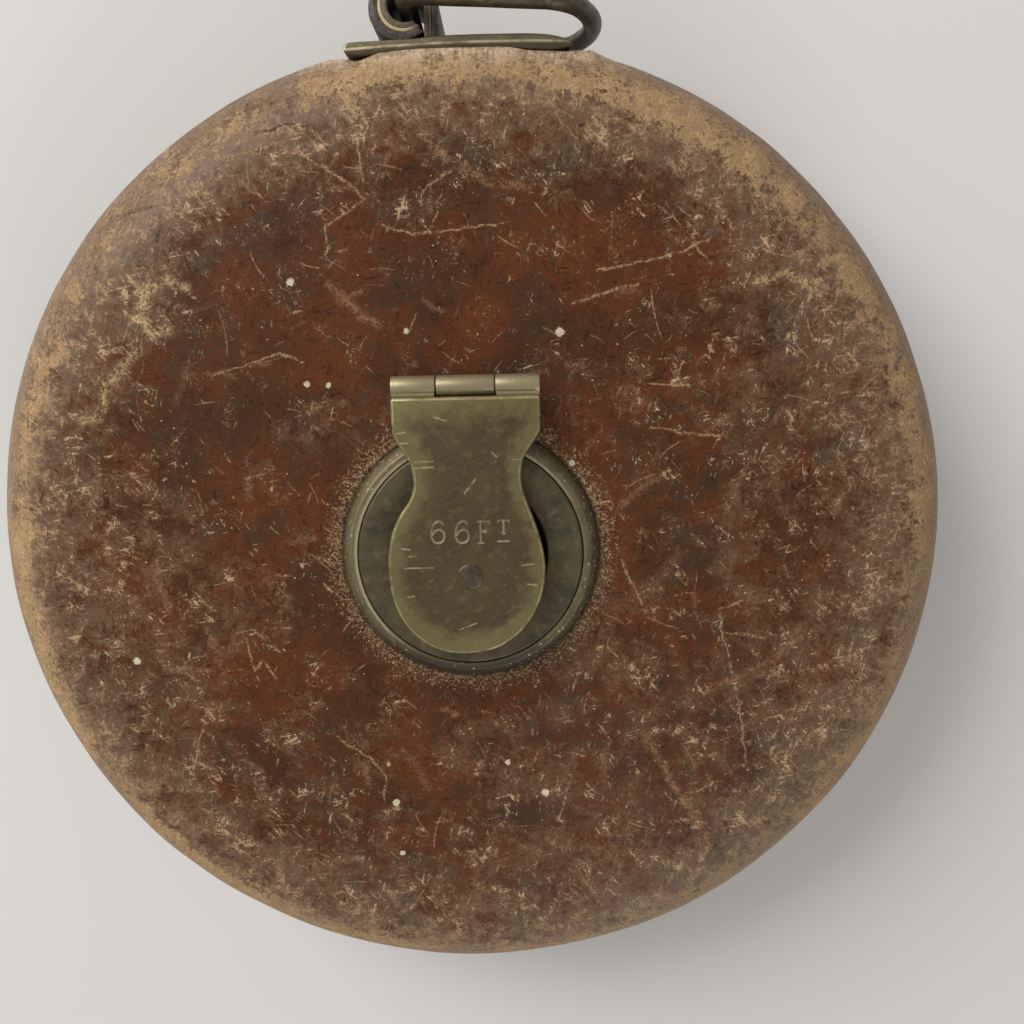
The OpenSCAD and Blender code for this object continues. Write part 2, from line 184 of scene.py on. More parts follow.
def pushAt(piece, place, move, reach):
    # a soft dent or lump: the nearest vertex is moved, and its neighbours follow
    editAll(piece)
    bpy.ops.mesh.select_all(action="DESELECT")
    objectMode()
    near = min(piece.data.vertices, key=lambda v: sum((a - b) ** 2 for a, b in zip(v.co, place)))
    near.select = True
    bpy.ops.object.mode_set(mode="EDIT")
    bpy.ops.transform.translate(
        value=move, use_proportional_edit=True, proportional_edit_falloff="SMOOTH",
        proportional_size=reach)
    objectMode()


def pressedFlat(piece, test, share, centre):
    # vertices chosen by their place are pressed onto a plane
    editAll(piece)
    bpy.ops.mesh.select_all(action="DESELECT")
    objectMode()
    for vertex in piece.data.vertices:
        vertex.select = test(vertex.co)
    bpy.ops.object.mode_set(mode="EDIT")
    bpy.ops.mesh.select_mode(type="VERT")
    bpy.ops.transform.resize(value=share, center_override=centre)
    objectMode()


def domePoints(radius, rise, top=0):
    # a rounded head, from the axis outwards
    angles = [math.radians(15 * i) for i in range(1, 7)]
    return [(0, top + rise)] + [(radius * math.sin(a), top + rise * math.cos(a)) for a in angles]


def arcPoints(x, y, radius, start, end, steps):
    # points on an arc, angles in degrees
    angles = [math.radians(start + (end - start) * i / steps) for i in range(steps + 1)]
    return [(x + radius * math.cos(a), y + radius * math.sin(a)) for a in angles]


def smoothLine(points, steps=6, closed=False):
    # a curve through all the points
    count = len(points)
    line = []
    for i in range(count if closed else count - 1):
        before, here, there, after = [
            points[(i + k) % count] if closed else points[min(max(i + k, 0), count - 1)]
            for k in (-1, 0, 1, 2)]
        for step in range(steps):
            t = step / steps
            line.append(tuple(
                0.5 * (2 * b + (c - a) * t + (2 * a - 5 * b + 4 * c - d) * t ** 2
                       + (3 * b - a - 3 * c + d) * t ** 3)
                for a, b, c, d in zip(before, here, there, after)))
    return line if closed else line + [tuple(points[-1])]


def wire(name, points, radius, closed=False, sides=3):
    # a round wire along a line of points
    piece = startPoint(name, points[0])
    drawAlong(points + points[:1] if closed else points)
    weld()
    objectMode()
    pickOnly(piece)
    applyPlace()
    bpy.ops.object.convert(target="CURVE")
    piece = bpy.context.object
    piece.data.bevel_depth = radius
    piece.data.bevel_resolution = sides
    piece.data.use_fill_caps = True
    bpy.ops.object.convert(target="MESH")
    piece = bpy.context.object
    editAll(piece)
    weld()
    facesOut()
    return piece


def joined(name, pieces):
    pickOnly(pieces[0])
    for piece in pieces:
        piece.select_set(True)
    bpy.ops.object.join()
    pieces[0].name = name
    return pieces[0]


def turnedTo(piece, turn=(0, 0, 0), move=(0, 0, 0)):
    # the whole piece turned about the origin, then moved
    pickOnly(piece)
    piece.rotation_euler = [math.radians(angle) for angle in turn]
    piece.location = move
    applyPlace()
    return piece


def finished(piece, body, paint=None, stoodFor=(), smooth=35):
    # brings the piece to metres, gives it its finish and lets it ride on its body
    pickOnly(piece)
    piece.scale = (mm, mm, mm)
    applyPlace()
    bpy.ops.object.shade_smooth_by_angle(angle=math.radians(smooth))
    if paint:
        piece.data.materials.clear()
        piece.data.materials.append(paint)
    if isinstance(body, dict):
        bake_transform(piece)
    else:
        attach(piece, body)
    if stoodFor:
        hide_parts(*stoodFor)
    print("made", piece.name)


# how strongly the room lights, and how light it looks
roomLight = {"strength": 0.4, "seen": 0.68}


class Socket:
    # a node's output, so that masks are added and multiplied as numbers are

    def __init__(self, paint, output):
        self.paint = paint
        self.output = output


def addOperator(method, operation, swapped=False):
    # an operator or method that adds one Math node
    def operator(self, other=0):
        first, second = (other, self) if swapped else (self, other)
        return self.paint.node("Math", {"operation": operation}, {0: first, 1: second})
    setattr(Socket, method, operator)


for method, operation in (("add", "ADD"), ("sub", "SUBTRACT"), ("mul", "MULTIPLY"), ("truediv", "DIVIDE")):
    addOperator("__" + method + "__", operation)
    addOperator("__r" + method + "__", operation, True)
for method, operation in (
        ("__abs__", "ABSOLUTE"), ("atLeast", "MAXIMUM"), ("atMost", "MINIMUM"), ("cosine", "COSINE"),
        ("sine", "SINE"), ("fraction", "FRACT")):
    addOperator(method, operation)


class Paint:
    # the nodes of a material, or of the block given; at is the place on the object in millimetres.
    # A colour is a name in the look, or red, green and blue as mixed on screen, 0 to 255

    def __init__(self, name, look=None, block=None):
        self.look = look
        self.material = block or bpy.data.materials.new(name)
        self.material.use_nodes = True
        self.tree = self.material.node_tree
        self.tree.nodes.clear()
        place = self.node("TexCoord", {}, {}, "Object")
        self.at = self.vector("SCALE", place, scale=1 / mm)
        self.x, self.y, self.z = [
            self.node("SeparateXYZ", {}, {0: self.at}, i) for i in range(3)]

    def node(self, kind, settings, inputs, output=0):
        made = self.tree.nodes.new("ShaderNode" + kind)
        for key, value in settings.items():
            setattr(made, key, value)
        for key, value in inputs.items():
            if isinstance(value, Socket):
                self.tree.links.new(value.output, made.inputs[key])
            else:
                made.inputs[key].default_value = value
        return Socket(self, made.outputs[output]) if made.outputs else None

    def vector(self, operation, first, second=(0, 0, 0), scale=1):
        output = "Value" if operation in ("LENGTH", "DOT_PRODUCT", "DISTANCE") else "Vector"
        inputs = {0: first, "Scale": scale} if operation == "SCALE" else {0: first, 1: second}
        return self.node("VectorMath", {"operation": operation}, inputs, output)

    def placed(self, stretch, turn=0):
        # the place turned about Z and stretched, for grain that runs one way
        return self.node("Mapping", {"vector_type": "TEXTURE"}, {
            "Vector": self.at, "Rotation": (0, 0, math.radians(turn)), "Scale": stretch})

    def noise(self, size, detail=2, rough=0.5, at=None, warp=0, colour=False):
        return self.node("TexNoise", {}, {
            "Vector": at or self.at, "Scale": 1 / size, "Detail": detail,
            "Roughness": rough, "Distortion": warp}, 1 if colour else 0)

    def cells(self, size, output="Distance"):
        return self.node("TexVoronoi", {}, {"Vector": self.at, "Scale": 1 / size}, output)

    def cellParts(self, size, at):
        # the middle of each cell and its own random colour
        middle = self.node(
            "TexVoronoi", {"voronoi_dimensions": "2D"}, {"Vector": at, "Scale": 1 / size}, "Position")
        return middle, Socket(self, middle.output.node.outputs["Color"])

    def grains(self, size, near, far, chance, low, high, which=0):
        # round grains, in the cells whose own random number is high enough
        pick = self.channels(self.cells(size, output="Color"))[which] + chance
        return self.step(self.cells(size), near, far, 1, 0) * self.step(pick, low, high)

    def channels(self, colour):
        return [self.node("SeparateColor", {}, {0: colour}, i) for i in range(3)]

    def step(self, value, low, high, start=0, end=1):
        return self.node("MapRange", {"interpolation_type": "SMOOTHSTEP"}, {
            "Value": value, "From Min": low, "From Max": high, "To Min": start, "To Max": end})

    def colourOf(self, colour):
        if isinstance(colour, str):
            colour = self.look[colour]
        return tone(*colour) if isinstance(colour, tuple) else colour

    def mix(self, factor, first, second):
        return self.node("Mix", {"data_type": "RGBA"}, {
            0: factor, 6: self.colourOf(first), 7: self.colourOf(second)}, 2)

    def lay(self, factor, over):
        # another colour over the one so far
        self.colour = self.mix(factor, self.colour, over)

    def combined(self, x, y=0, z=0):
        return self.node("CombineXYZ", {}, {0: x, 1: y, 2: z})

    def flat(self, at=None):
        return self.vector("MULTIPLY", at or self.at, (1, 1, 0))

    def fromAxis(self):
        return self.vector("LENGTH", self.flat())

    def hair(self, turn, stretch, width, size):
        # long thin lines along one direction, where a stretched noise crosses its middle
        field = self.noise(size, 1, 0.4, self.placed((stretch, 1, 1), turn))
        return self.step(abs(field - 0.5), 0, width, 1, 0)

    def distanceTo(self, lines, at):
        # distance from the nearest of several broken lines in the XY plane
        nearest = None
        for (ax, ay), (bx, by) in [ends for line in lines for ends in zip(line, line[1:])]:
            along = (bx - ax, by - ay, 0)
            length2 = along[0] ** 2 + along[1] ** 2
            offset = self.vector("SUBTRACT", at, (ax, ay, 0))
            unit = (along[0] / length2, along[1] / length2, 0)
            share = self.vector("DOT_PRODUCT", offset, unit).atLeast(0).atMost(1)
            foot = self.vector("SCALE", along, scale=share)
            gap = self.vector("LENGTH", self.vector("SUBTRACT", offset, foot))
            nearest = nearest.atMost(gap) if nearest else gap
        return nearest

    def bump(self, height, depth, strength, over=None):
        inputs = {"Height": height, "Distance": depth * mm, "Strength": strength}
        if over:
            inputs["Normal"] = over
        return self.node("Bump", {}, inputs)

    def finish(self, rough, bump, metallic=0.0, **constants):
        inputs = {"Base Color": self.colour, "Roughness": rough, "Metallic": metallic, "Normal": bump}
        for key, value in constants.items():
            inputs[key.replace("_", " ")] = value
        shader = self.node("BsdfPrincipled", {}, inputs)
        self.node("OutputMaterial", {}, {"Surface": shader})
        return self.material


def tone(red, green, blue):
    # red, green and blue, 0 to 255, made linear
    shares = [part / 255 for part in (red, green, blue)]
    return tuple(s / 12.92 if s < 0.04045 else ((s + 0.055) / 1.055) ** 2.4 for s in shares) + (1,)


leatherLook = {
    "red": (92, 49, 24),
    "brown": (72, 43, 23),
    "haze": (104, 77, 55),
    "rimHaze": (118, 97, 76),
    "rimPale": (146, 119, 90),
    "stain": (55, 43, 31),
    "pit": (32, 20, 12),
    "fleck": (176, 146, 112),
    "fleckDark": (130, 101, 74),
    "scratch": (172, 138, 102),
    "smear": (130, 99, 74),
    "rubbedRed": (146, 106, 74),
    "worn": (182, 149, 106),
    "wornDeep": (150, 121, 87),
    "side": (120, 97, 72),
    "sideDark": (74, 48, 32),
    "pale": (196, 170, 142),
    "speck": (206, 190, 160),
    "yellow": (192, 162, 114),
    "tan": (138, 116, 84),
    "crack": (44, 29, 20),
    "dust": (166, 142, 104),
    "band": 55.5,           # radius of the worn band and half its width; lower down it lies
    "bandHalf": 4.0,        # further out
    "bandLower": 0.8,
    "quietSide": (-0.68, 0.73, 0),  # towards the part of the edge that is worn least
    "ringEdge": 15.3,       # outside of the bearing ring
}

# where the rounded edge is worn most: angle, half width in degrees, strength
wornPlaces = [
    (62, 12, 1.0), (47, 7, 0.7), (28, 12, 0.7), (8, 10, 0.8), (-32, 13, 0.6), (-62, 10, 0.6),
    (-84, 14, 0.7), (-106, 12, 0.9), (-130, 14, 1.0), (-162, 14, 0.9), (180, 8, 0.9), (162, 8, 0.6),
    (141, 6, 0.4), (124, 8, 0.35), (110, 8, 0.4), (97, 11, 0.85), (80, 8, 0.7)]

# marks on the front, in millimetres from the drum axis
thinScratches = [
    [(-19.5, 47), (-13, 43), (-11, 41), (-15.5, 38), (-15.5, 35)], [(-11.5, 47), (-11, 43)],
    [(-29.5, 21.5), (-21.5, 24), (-19.5, 23)], [(15.5, 32.5), (23.5, 34), (28.5, 36)],
    [(26.5, 35.5), (28.5, 33)], [(21.5, 14.5), (30.5, 13)], [(12.5, 29), (20, 31)],
    [(-28, -10.5), (-27, -14.5), (-26, -13), (-24.5, -15.5)],
    [(-17.5, -23.5), (-13.5, -26.5), (-11.5, -29), (-12, -32.5)], [(-34.5, -22.5), (-36, -28)],
    [(18, -1.5), (20.5, -7)], [(33, -7), (30, -8), (30.5, -11), (32, -16.5), (33, -21.5), (34, -28.5)],
    [(30.5, -11), (36, -12)], [(27, -32.5), (31, -31)], [(11.5, -30.5), (10, -36)],
    [(-1, 44), (-4.5, 41.5)], [(-9, 38), (-5.5, 37), (4, 38)]]
broadScratches = [
    [(-4.5, 48), (-1, 45), (3, 42.5), (7, 42)], [(-15, 31.5), (-12, 28), (-10, 27)],
    [(-32.5, -9), (-31, -15)], [(21, -24), (26, -33.5), (29.5, -39.5)],
    [(29, -18.5), (37, -15), (40, -12)]]
yellowScuffs = [
    [(-32, 31.5), (-34, 32.5), (-36.5, 31.5), (-37.5, 30), (-37, 28), (-36.5, 26.5), (-34.5, 27)],
    [(-38.5, 25.5), (-38.5, 24.5), (-40, 23), (-42.5, 20), (-43.5, 17), (-45.5, 16.5)],
    [(34, 31), (37, 32), (40.5, 30)]]
cracks = [[(-23, 48.5), (-18.5, 49.5)], [(-39.5, 40), (-35, 41)]]
paintSpecks = [
    (-19.8, 32, 0.62), (-6.7, 26.2, 0.45), (11, 25.7, 0.7), (12.2, 10.5, 0.5), (-41.8, -13.3, 0.62),
    (3.8, -27.4, 0.5), (8.5, -31.8, 0.72), (-10.5, -32.7, 0.65), (-18.5, 20.4, 0.5), (-16, 20.2, 0.45),
    (-10, -40, 0.5)]


def strokes(p, size, length, width, share, shift):
    # short scratches: some cells hold one, each at its own angle and a little bent
    at = p.vector("ADD", p.flat(), (shift, shift * 0.6, 0))
    centre, picks = p.cellParts(size, at)
    away = p.vector("SUBTRACT", at, centre)
    dx, dy = [p.node("SeparateXYZ", {}, {0: away}, i) for i in (0, 1)]
    pick = p.channels(picks)
    angle = pick[0] * (2 * math.pi)
    cosine, sine = angle.cosine(), angle.sine()
    along = dx * cosine + dy * sine
    bend = along * along * (pick[1] - 0.5) * (1.2 / size)
    across = abs(dy * cosine - dx * sine + bend)
    half = length * (pick[2] * 0.7 + 0.3)
    ragged = across / width + (p.noise(0.3, 2, 0.7) - 0.5) * 3.4
    faint = p.step(pick[0], 0, 1, 0.35, 1)
    return (p.step(ragged, 0.2, 0.9, 1, 0) * p.step(abs(along) / half, 0.6, 1, 1, 0) * faint
            * p.step(pick[1], share, share + 0.02, 1, 0))


def paintLeather(name, marked):
    look = leatherLook
    p = Paint(name, look)
    step, noise = p.step, p.noise
    ground = p.flat()
    radius = p.vector("LENGTH", ground)
    heading = p.vector("NORMALIZE", ground)
    clouds = p.channels(noise(10, 3, 0.6, colour=True))
    patches = p.channels(noise(4.2, 4, 0.66, colour=True))
    middle = noise(1.5, 3, 0.65)
    fine = noise(0.42, 3, 0.68)
    grit = noise(0.2, 2, 0.6)
    # the same fields about zero
    soft, sharp, rasp = [field - 0.5 for field in (middle, fine, grit)]
    cloudy, blotch = [[part - 0.5 for part in field] for field in (clouds, patches)]
    # short fibres, raised and sunk, that lie three ways
    lying = [noise(0.34, 2, 0.6, p.placed((5, 1, 1), turn), warp=0.6) + patch * 0.4
             for turn, patch in zip((12, 74, 133), blotch)]
    fibres = (lying[0].atLeast(lying[1]).atLeast(lying[2]) - 0.59) * 1.35 + 0.5
    fuzz = fibres - 0.5
    sunkFibres = lying[0].atMost(lying[1]).atMost(lying[2])
    # streaks run outwards over the edge and down the side
    outward = p.vector("SCALE", heading, scale=(radius - 55) * 0.2 + 55)
    sunk = p.combined(0, 0, p.z * 0.2)
    streaks = noise(0.45, 3, 0.65, p.vector("ADD", outward, sunk))
    flow = streaks - 0.5
    towardsRim = step(radius, 26, 54)

    p.colour = p.mix(step(clouds[0] + soft * 0.3, 0.36, 0.64), "red", "brown")
    # painted shade: the upper part is kept darker and less hazy, with fewer crumbs and less pale haze at the
    # rim
    upperShade = step(p.y - p.x * 0.35, 14, 32) * step(radius + soft * 6, 43, 50, 1, 0)
    hazeField = patches[0] * 0.55 + clouds[1] * 0.5 + towardsRim * 0.13 + soft * 0.2
    hazeField = hazeField + sharp * 0.3 - upperShade * 0.13
    p.lay(step(hazeField, 0.5, 0.68) * 0.75, "haze")
    stainField = patches[1] + cloudy[2] * 0.7 + soft * 0.45 + sharp * 0.5
    stain = step(stainField + towardsRim * 0.03, 0.53, 0.68)
    p.lay(stain * 0.62, "stain")
    rimHaze = step(radius + blotch[1] * 28 + soft * 14 + fuzz * 18, 42, 55)
    p.lay(rimHaze * (0.55 - upperShade * 0.4), "rimHaze")
    pits = step(sunkFibres + blotch[1] * 0.2, 0.28, 0.35, 1, 0)
    p.lay(pits * 0.6, "pit")

    # crumbs of bare hide, scarce in the middle and thick towards the rim
    density = blotch[2] * 1.2 + towardsRim * 0.12 + cloudy[1] * 0.5
    side = step(p.z + soft * 3, 23.6, 20.2)
    density = density + step(radius, 44, 56) * 0.1 - side * 0.16 - step(radius, 40, 20) * 0.05
    density = density - upperShade * 0.12
    clumps = fibres * 0.85 + fine * 0.15 + density * 0.42 + soft * 0.5
    clumps = clumps + rasp * 0.2 + flow * 0.2
    crumbs = step(clumps, 0.61, 0.75)
    crumbTone = p.mix(step(grit * 0.5 + patches[0] * 0.5, 0.42, 0.56), "fleckDark", "fleck")
    p.lay(crumbs * step(middle, 0.34, 0.66, 0.35, 0.95), crumbTone)

    # soft smears where the varnish is rubbed thin
    smears = strokes(p, 12, 4.2, 0.75, 0.42, 71.3).atLeast(strokes(p, 7, 2.4, 0.5, 0.4, 23.9))
    p.lay(smears * step(fine, 0.36, 0.6, 0.2, 0.75), "smear")

    # worm-like scuffs and short scratches
    flatPart = step(radius, 54, 57, 1, 0)
    curls = step(abs(noise(1.15, 2, 0.6, warp=0.8) - 0.5), 0.004, 0.02, 1, 0)
    curls = curls * step(patches[0] + towardsRim * 0.06, 0.53, 0.62) * step(fine, 0.38, 0.55)
    marks = curls * 0.75
    for size, length, width, share, shift in (
            (9, 3.4, 0.14, 0.4, 3.1), (5.4, 2.1, 0.11, 0.34, 17.3), (3.1, 1.1, 0.09, 0.25, 41.7)):
        marks = strokes(p, size, length, width, share, shift).atLeast(marks)
    marks = marks * flatPart * step(grit + fine, 0.75, 1.05, 0.45, 1)
    p.lay(marks * 0.7, "scratch")

    # pale grains caught in the varnish
    p.lay(p.grains(1.5, 0.04, 0.085, density * 0.5, 0.62, 0.66) * 0.8, "speck")

    # rounded edge: rubbed pale, then a grey-brown side, and a band worn through to the tan hide
    rubbedAndLit = step(radius + soft * 9 + flow * 7 + blotch[0] * 9, 51.2, 55)
    quiet = step(p.vector("DOT_PRODUCT", heading, look["quietSide"]), 0.8, 0.96)
    rubbedAndLit = rubbedAndLit * step(fine * 0.5 + fibres * 0.5, 0.36, 0.6, 0.2, 0.9) * (1 - quiet * 0.4)
    p.lay(rubbedAndLit, "rimPale")
    sideTone = p.mix(step(streaks + blotch[0] * 0.8, 0.42, 0.72), "sideDark", "side")
    p.lay(side * step(crumbs, 0, 1, 0.85, 0.3), sideTone)
    down = p.vector("DOT_PRODUCT", heading, (0, -1, 0))
    lower = step(down, -0.2, 0.5)
    fromBand = abs(radius - look["band"] - lower * look["bandLower"])
    band = step(fromBand / look["bandHalf"], 0.1, 1, 1, 0)
    places = 0
    for angle, halfWidth, strength in wornPlaces:
        turn = math.radians(angle)
        facing = p.vector("DOT_PRODUCT", heading, (math.cos(turn), math.sin(turn), 0))
        far, near = [math.cos(math.radians(halfWidth * k)) for k in (1.5, 0.4)]
        spot = step(facing, far, near, 0, strength)
        places = spot.atLeast(places)
    wear = band * (places * 0.85 + 0.05) + blotch[2] * 1.7 + soft * 1.4
    wear = wear + flow * 1.2 + fuzz * 0.9 + rasp * 0.4 - pits * 0.2
    left = step(noise(0.9, 3, 0.7) + flow * 0.5, 0.3, 0.42)
    worn = step(wear, 0.36, 0.68) * step(band, 0, 0.2) * left
    wornTone = p.mix(step(middle + flow * 0.9, 0.35, 0.65), "worn", "wornDeep")
    p.lay(worn * 0.9, wornTone)

    # the rim beside the mouth is rubbed pale
    nearMouth = step(p.y + soft * 3, 54.8, 57.6) * step(abs(p.x), 17, 26, 1, 0)
    nearMouth = nearMouth * step(p.z + soft * 4, 17, 20.5)
    p.lay(nearMouth * step(streaks, 0.34, 0.6, 0.1, 0.85), "pale")
    # painted glints: small white dots on the rim beside the mouth
    p.lay(p.grains(0.8, 0.14, 0.24, 0, 0.8, 0.84, 1) * nearMouth * 0.9, (226, 214, 198))

    # dust and dirt against the bearing ring
    collar = step(radius + soft * 3.4, look["ringEdge"] - 0.6, look["ringEdge"] + 3.2, 1, 0)
    dusty = step(fine + rasp * 0.9 + collar * 0.2, 0.6, 0.72) * step(collar, 0, 0.2)
    p.lay(dusty * 0.6, "dust")
    caught = p.grains(0.55, 0.12, 0.2, collar * 0.62, 0.98, 1.02)
    p.lay(caught * step(collar, 0, 0.1) * 0.9, "speck")
    dirt = step(radius + sharp * 0.5, look["ringEdge"] + 0.1, look["ringEdge"] + 0.6, 1, 0)
    p.lay(dirt * 0.75, "crack")

    relief = crumbs * 0.35 + marks * 0.4 + worn * sharp * 0.8 + soft * 0.5 + dusty * 0.5
    if marked:
        front = step(p.z, 20, 24)
        drift = p.vector("SUBTRACT", noise(1.8, 3, 0.6, colour=True), (0.5, 0.5, 0.5))
        wavy = p.flat(p.vector("ADD", p.at, p.vector("SCALE", drift, scale=1.3)))
        crusty = p.mix(step(grit * 0.5 + fibres * 0.5, 0.42, 0.56), "tan", "yellow")
        groups = [
            (thinScratches, 0.2, 0.85, "scratch"), (broadScratches, 0.7, 0.65, "rubbedRed"),
            (yellowScuffs, 0.9, 0.85, crusty), (cracks, 0.25, 0.85, "crack")]
        for lines, width, strength, shade in groups:
            gap = p.distanceTo(lines, wavy)
            ragged = gap / width + sharp * 3.4 + soft * 2.6 + rasp * 1.6
            mark = step(ragged, 0.5, 1.0, 1, 0) * step(gap, width * 1.6, width * 2.2, 1, 0) * front
            mark = mark * step(fine + middle * 0.6, 0.68, 0.9, 0.1, 1)
            p.lay(mark * strength, shade)
            relief = relief + mark * 0.4
        dots = None
        for x, y, size in paintSpecks:
            gap = p.vector("LENGTH", p.vector("SUBTRACT", ground, (x, y, 0))) / size
            dots = dots.atMost(gap) if dots else gap
        dots = step(dots + sharp * 1.2, 0.6, 0.85, 1, 0) * front
        p.lay(dots * 0.95, "speck")
        relief = relief + dots * 1.2

    # the whole skin is finely mottled; below the ring it is darker, a painted shadow, and the upper part a
    # little darker, painted shade
    shade = 1 + sharp * 0.6 + rasp * 0.5 + soft * 0.7 + fuzz * 0.55
    shadowBelowRing = step(down, 0.3, 0.95)
    shade = shade - shadowBelowRing * step(radius + soft * 5, 16, 24, 0.24, 0) - upperShade * 0.05
    p.colour = p.vector("SCALE", p.colour, scale=shade)

    rough = step(middle, 0.35, 0.65, 0.36, 0.46) + crumbs * 0.15 + marks * 0.15 + worn * 0.25
    rough = (rough + stain * 0.06).atMost(0.85)
    grain = p.bump(noise(0.8, 3, 0.6), 0.05, 0.5)
    return p.finish(rough, p.bump(relief, 0.09, 0.8, grain), Specular_IOR_Level=0.13)


def paintWelt():
    p = Paint("weltLeather")
    fine = p.noise(0.5, 3, 0.6)
    p.colour = p.mix(p.step(fine, 0.35, 0.7), (88, 62, 44), (52, 34, 25))
    p.lay(p.step(p.noise(6, 3, 0.6), 0.5, 0.65) * 0.5, (120, 98, 76))
    return p.finish(p.step(fine, 0.3, 0.7, 0.5, 0.75), p.bump(fine, 0.06, 0.7))


def paintStrap(name, light, dark):
    p = Paint(name)
    fine = p.noise(0.35, 4, 0.65)
    fibres = p.noise(0.5, 2, 0.5, p.placed((1, 1, 12)))
    p.colour = p.mix(p.step(fine, 0.32, 0.7), light, dark)
    p.lay(p.step(fibres, 0.5, 0.75) * 0.35, (120, 104, 84))
    relief = fine + fibres * 0.6
    return p.finish(p.step(fine, 0.3, 0.7, 0.42, 0.7), p.bump(relief, 0.06, 0.8))


def paintThread():
    p = Paint("waxedThread")
    twist = p.noise(0.25, 2, 0.5, p.placed((1, 1, 0.5), 35))
    p.colour = p.mix(twist, (176, 154, 114), (112, 92, 64))
    p.lay(p.step(p.noise(7, 3), 0.5, 0.62) * 0.55, (84, 66, 48))
    return p.finish(0.75, p.bump(twist, 0.05, 0.8))


def paintBrass(name, look):
    # brass that has gone brown or green, paler where hands rub it; some looks add painted shade, painted
    # highlights and a painted lit side
    p = Paint(name, look)
    mottle = p.noise(look.get("mottle", 3.5), 4, 0.62)
    fine = p.noise(0.35, 3, 0.6)
    p.colour = p.mix(p.step(mottle, 0.36, 0.66), "main", "dark")
    p.lay(p.step(p.noise(1.3, 3, 0.6), 0.52, 0.72) * 0.4, "pale")
    # paler where rubbed, and on the bearing ring a paler left side, which is painted light
    if look.get("rubbedAndLit"):
        p.lay(look["rubbedAndLit"](p) * p.step(fine + mottle, 0.6, 1.15, 1, 0.62), "pale")
    hairs = p.hair(25, 10, 0.02, 0.7) * p.step(mottle, 0.48, 0.6)
    hairs = hairs.atLeast(p.hair(-50, 12, 0.018, 0.8) * p.step(p.noise(4), 0.5, 0.6))
    p.lay(hairs * 0.22, "pale")
    if look.get("marks"):
        p.lay(look["marks"](p), "scratch")
    pits = p.step(p.cells(0.9), 0.08, 0.2, 1, 0) * p.step(mottle, 0.5, 0.6)
    p.lay(pits * 0.5, "dark")
    # painted shade, in a dark brown
    if "paintedShade" in look:
        p.lay(look["paintedShade"](p), (52, 44, 31))
    # painted highlights, in the shine tone
    if "paintedHighlight" in look:
        p.lay(look["paintedHighlight"](p), "shine")
    if "dust" in look:
        p.lay(p.grains(0.45, 0.22, 0.4, look["dust"](p), 0.98, 1.02) * 0.8, (172, 156, 122))
    rough = p.step(mottle + (fine - 0.5) * 0.6, 0.3, 0.7, look["rough"] - 0.06, look["rough"] + 0.1)
    relief = hairs * -0.5 + pits * -0.8 + (fine - 0.5) * 0.5
    return p.finish(rough, p.bump(relief, 0.03, 0.6), look["metallic"])


flapSize = {
    "half": 8.45, "top": 18.9, "roundR": 9.15, "roundX": -0.35, "roundLow": -2.3, "roundHigh": 0.4,
    "waistR": 7.7, "waistX": 13.9, "waistY": 10.2, "low": 32.65, "high": 33.9,
    "hingeY": 20.0, "hingeZ": 32.0, "knuckleR": 1.25, "middle": 3.3, "gap": 0.12, "stamp": 0.15,
    # the hand-filed outline from the right shoulder round to the left one
    "line": [
        (8.45, 15), (7.9, 14), (7.2, 13), (6.45, 11.7), (6.15, 9.8), (6.4, 7.9), (7.1, 5.8), (7.8, 3.8),
        (8.5, 1.2), (8.78, -1.6), (8.3, -4.5), (7.1, -7.2), (5.2, -9.4), (2.7, -10.9), (-0.4, -11.43),
        (-3.4, -11.1), (-5.9, -9.8), (-7.9, -7.6), (-9.1, -4.8), (-9.5, -1.8), (-9.45, 0.8), (-8.9, 3.4),
        (-7.9, 5.5), (-6.75, 7.2), (-6.2, 9), (-6.5, 11.2), (-7.25, 12.7), (-8.05, 14), (-8.45, 15)]}


def flapBorder(p):
    # how near the handle's edge a place is: 1 at the edge, 0 from about 2 mm in
    f = flapSize
    aside = abs(p.x)
    nearestY = p.y.atLeast(f["roundLow"]).atMost(f["roundHigh"])
    combine = p.combined(p.x - f["roundX"], p.y - nearestY)
    insideRound = f["roundR"] - p.vector("LENGTH", combine)
    toWaist = p.combined(aside - f["waistX"], p.y - f["waistY"])
    insideWaist = p.vector("LENGTH", toWaist) - f["waistR"]
    insideBody = insideWaist.atMost(f["half"] - aside).atMost(p.y - f["roundLow"])
    inside = insideBody.atLeast(insideRound).atMost((f["top"] - p.y) * 0.45 + 0.6)
    inside = inside - p.step(p.y, -4, -9, 0, 0.9)
    return p.step(inside + (p.noise(1.5, 3, 0.65) - 0.5) * 2.6, 0.6, 2.6, 1, 0)


def hingeShine(p):
    # the knuckles laid in the lighter shine tone, and a painted highlight along the uneven line where the
    # handle meets them
    line = abs(p.y - 18.72 + (p.noise(1.1, 2) - 0.5) * 0.5)
    line = p.step(line, 0.06, 0.2, 1, 0) * p.step(p.noise(2.4, 2), 0.36, 0.5, 0.2, 1)
    return (p.step(p.y, 18.9, 19.2) * 0.8).atLeast(line)


flapScratches = [
    [(-7.6, -0.8), (-4.3, -0.8)], [(6, -0.75), (7.4, -0.6)], [(-6.1, 11.6), (-3.9, 11.7)],
    [(-6, 10.9), (-3.9, 11)], [(5.2, 11.7), (6.1, 11.7)], [(-0.4, 7.9), (0.9, 9.5)],
    [(-8, 13.8), (-6.6, 13.8)], [(-8, 14.9), (-6.9, 15)], [(-3.6, 16.7), (-2.2, 16.2)],
    [(-8, 1.6), (-6.9, 1.4)], [(-7.4, -4.3), (-6.6, -4.2)], [(6.6, -3), (7.8, -3.2)],
    [(-7, 0.6), (-6.2, 0.6)], [(-1.5, -8.4), (0.6, -7.6)], [(2.8, 12.6), (3.4, 12)]]


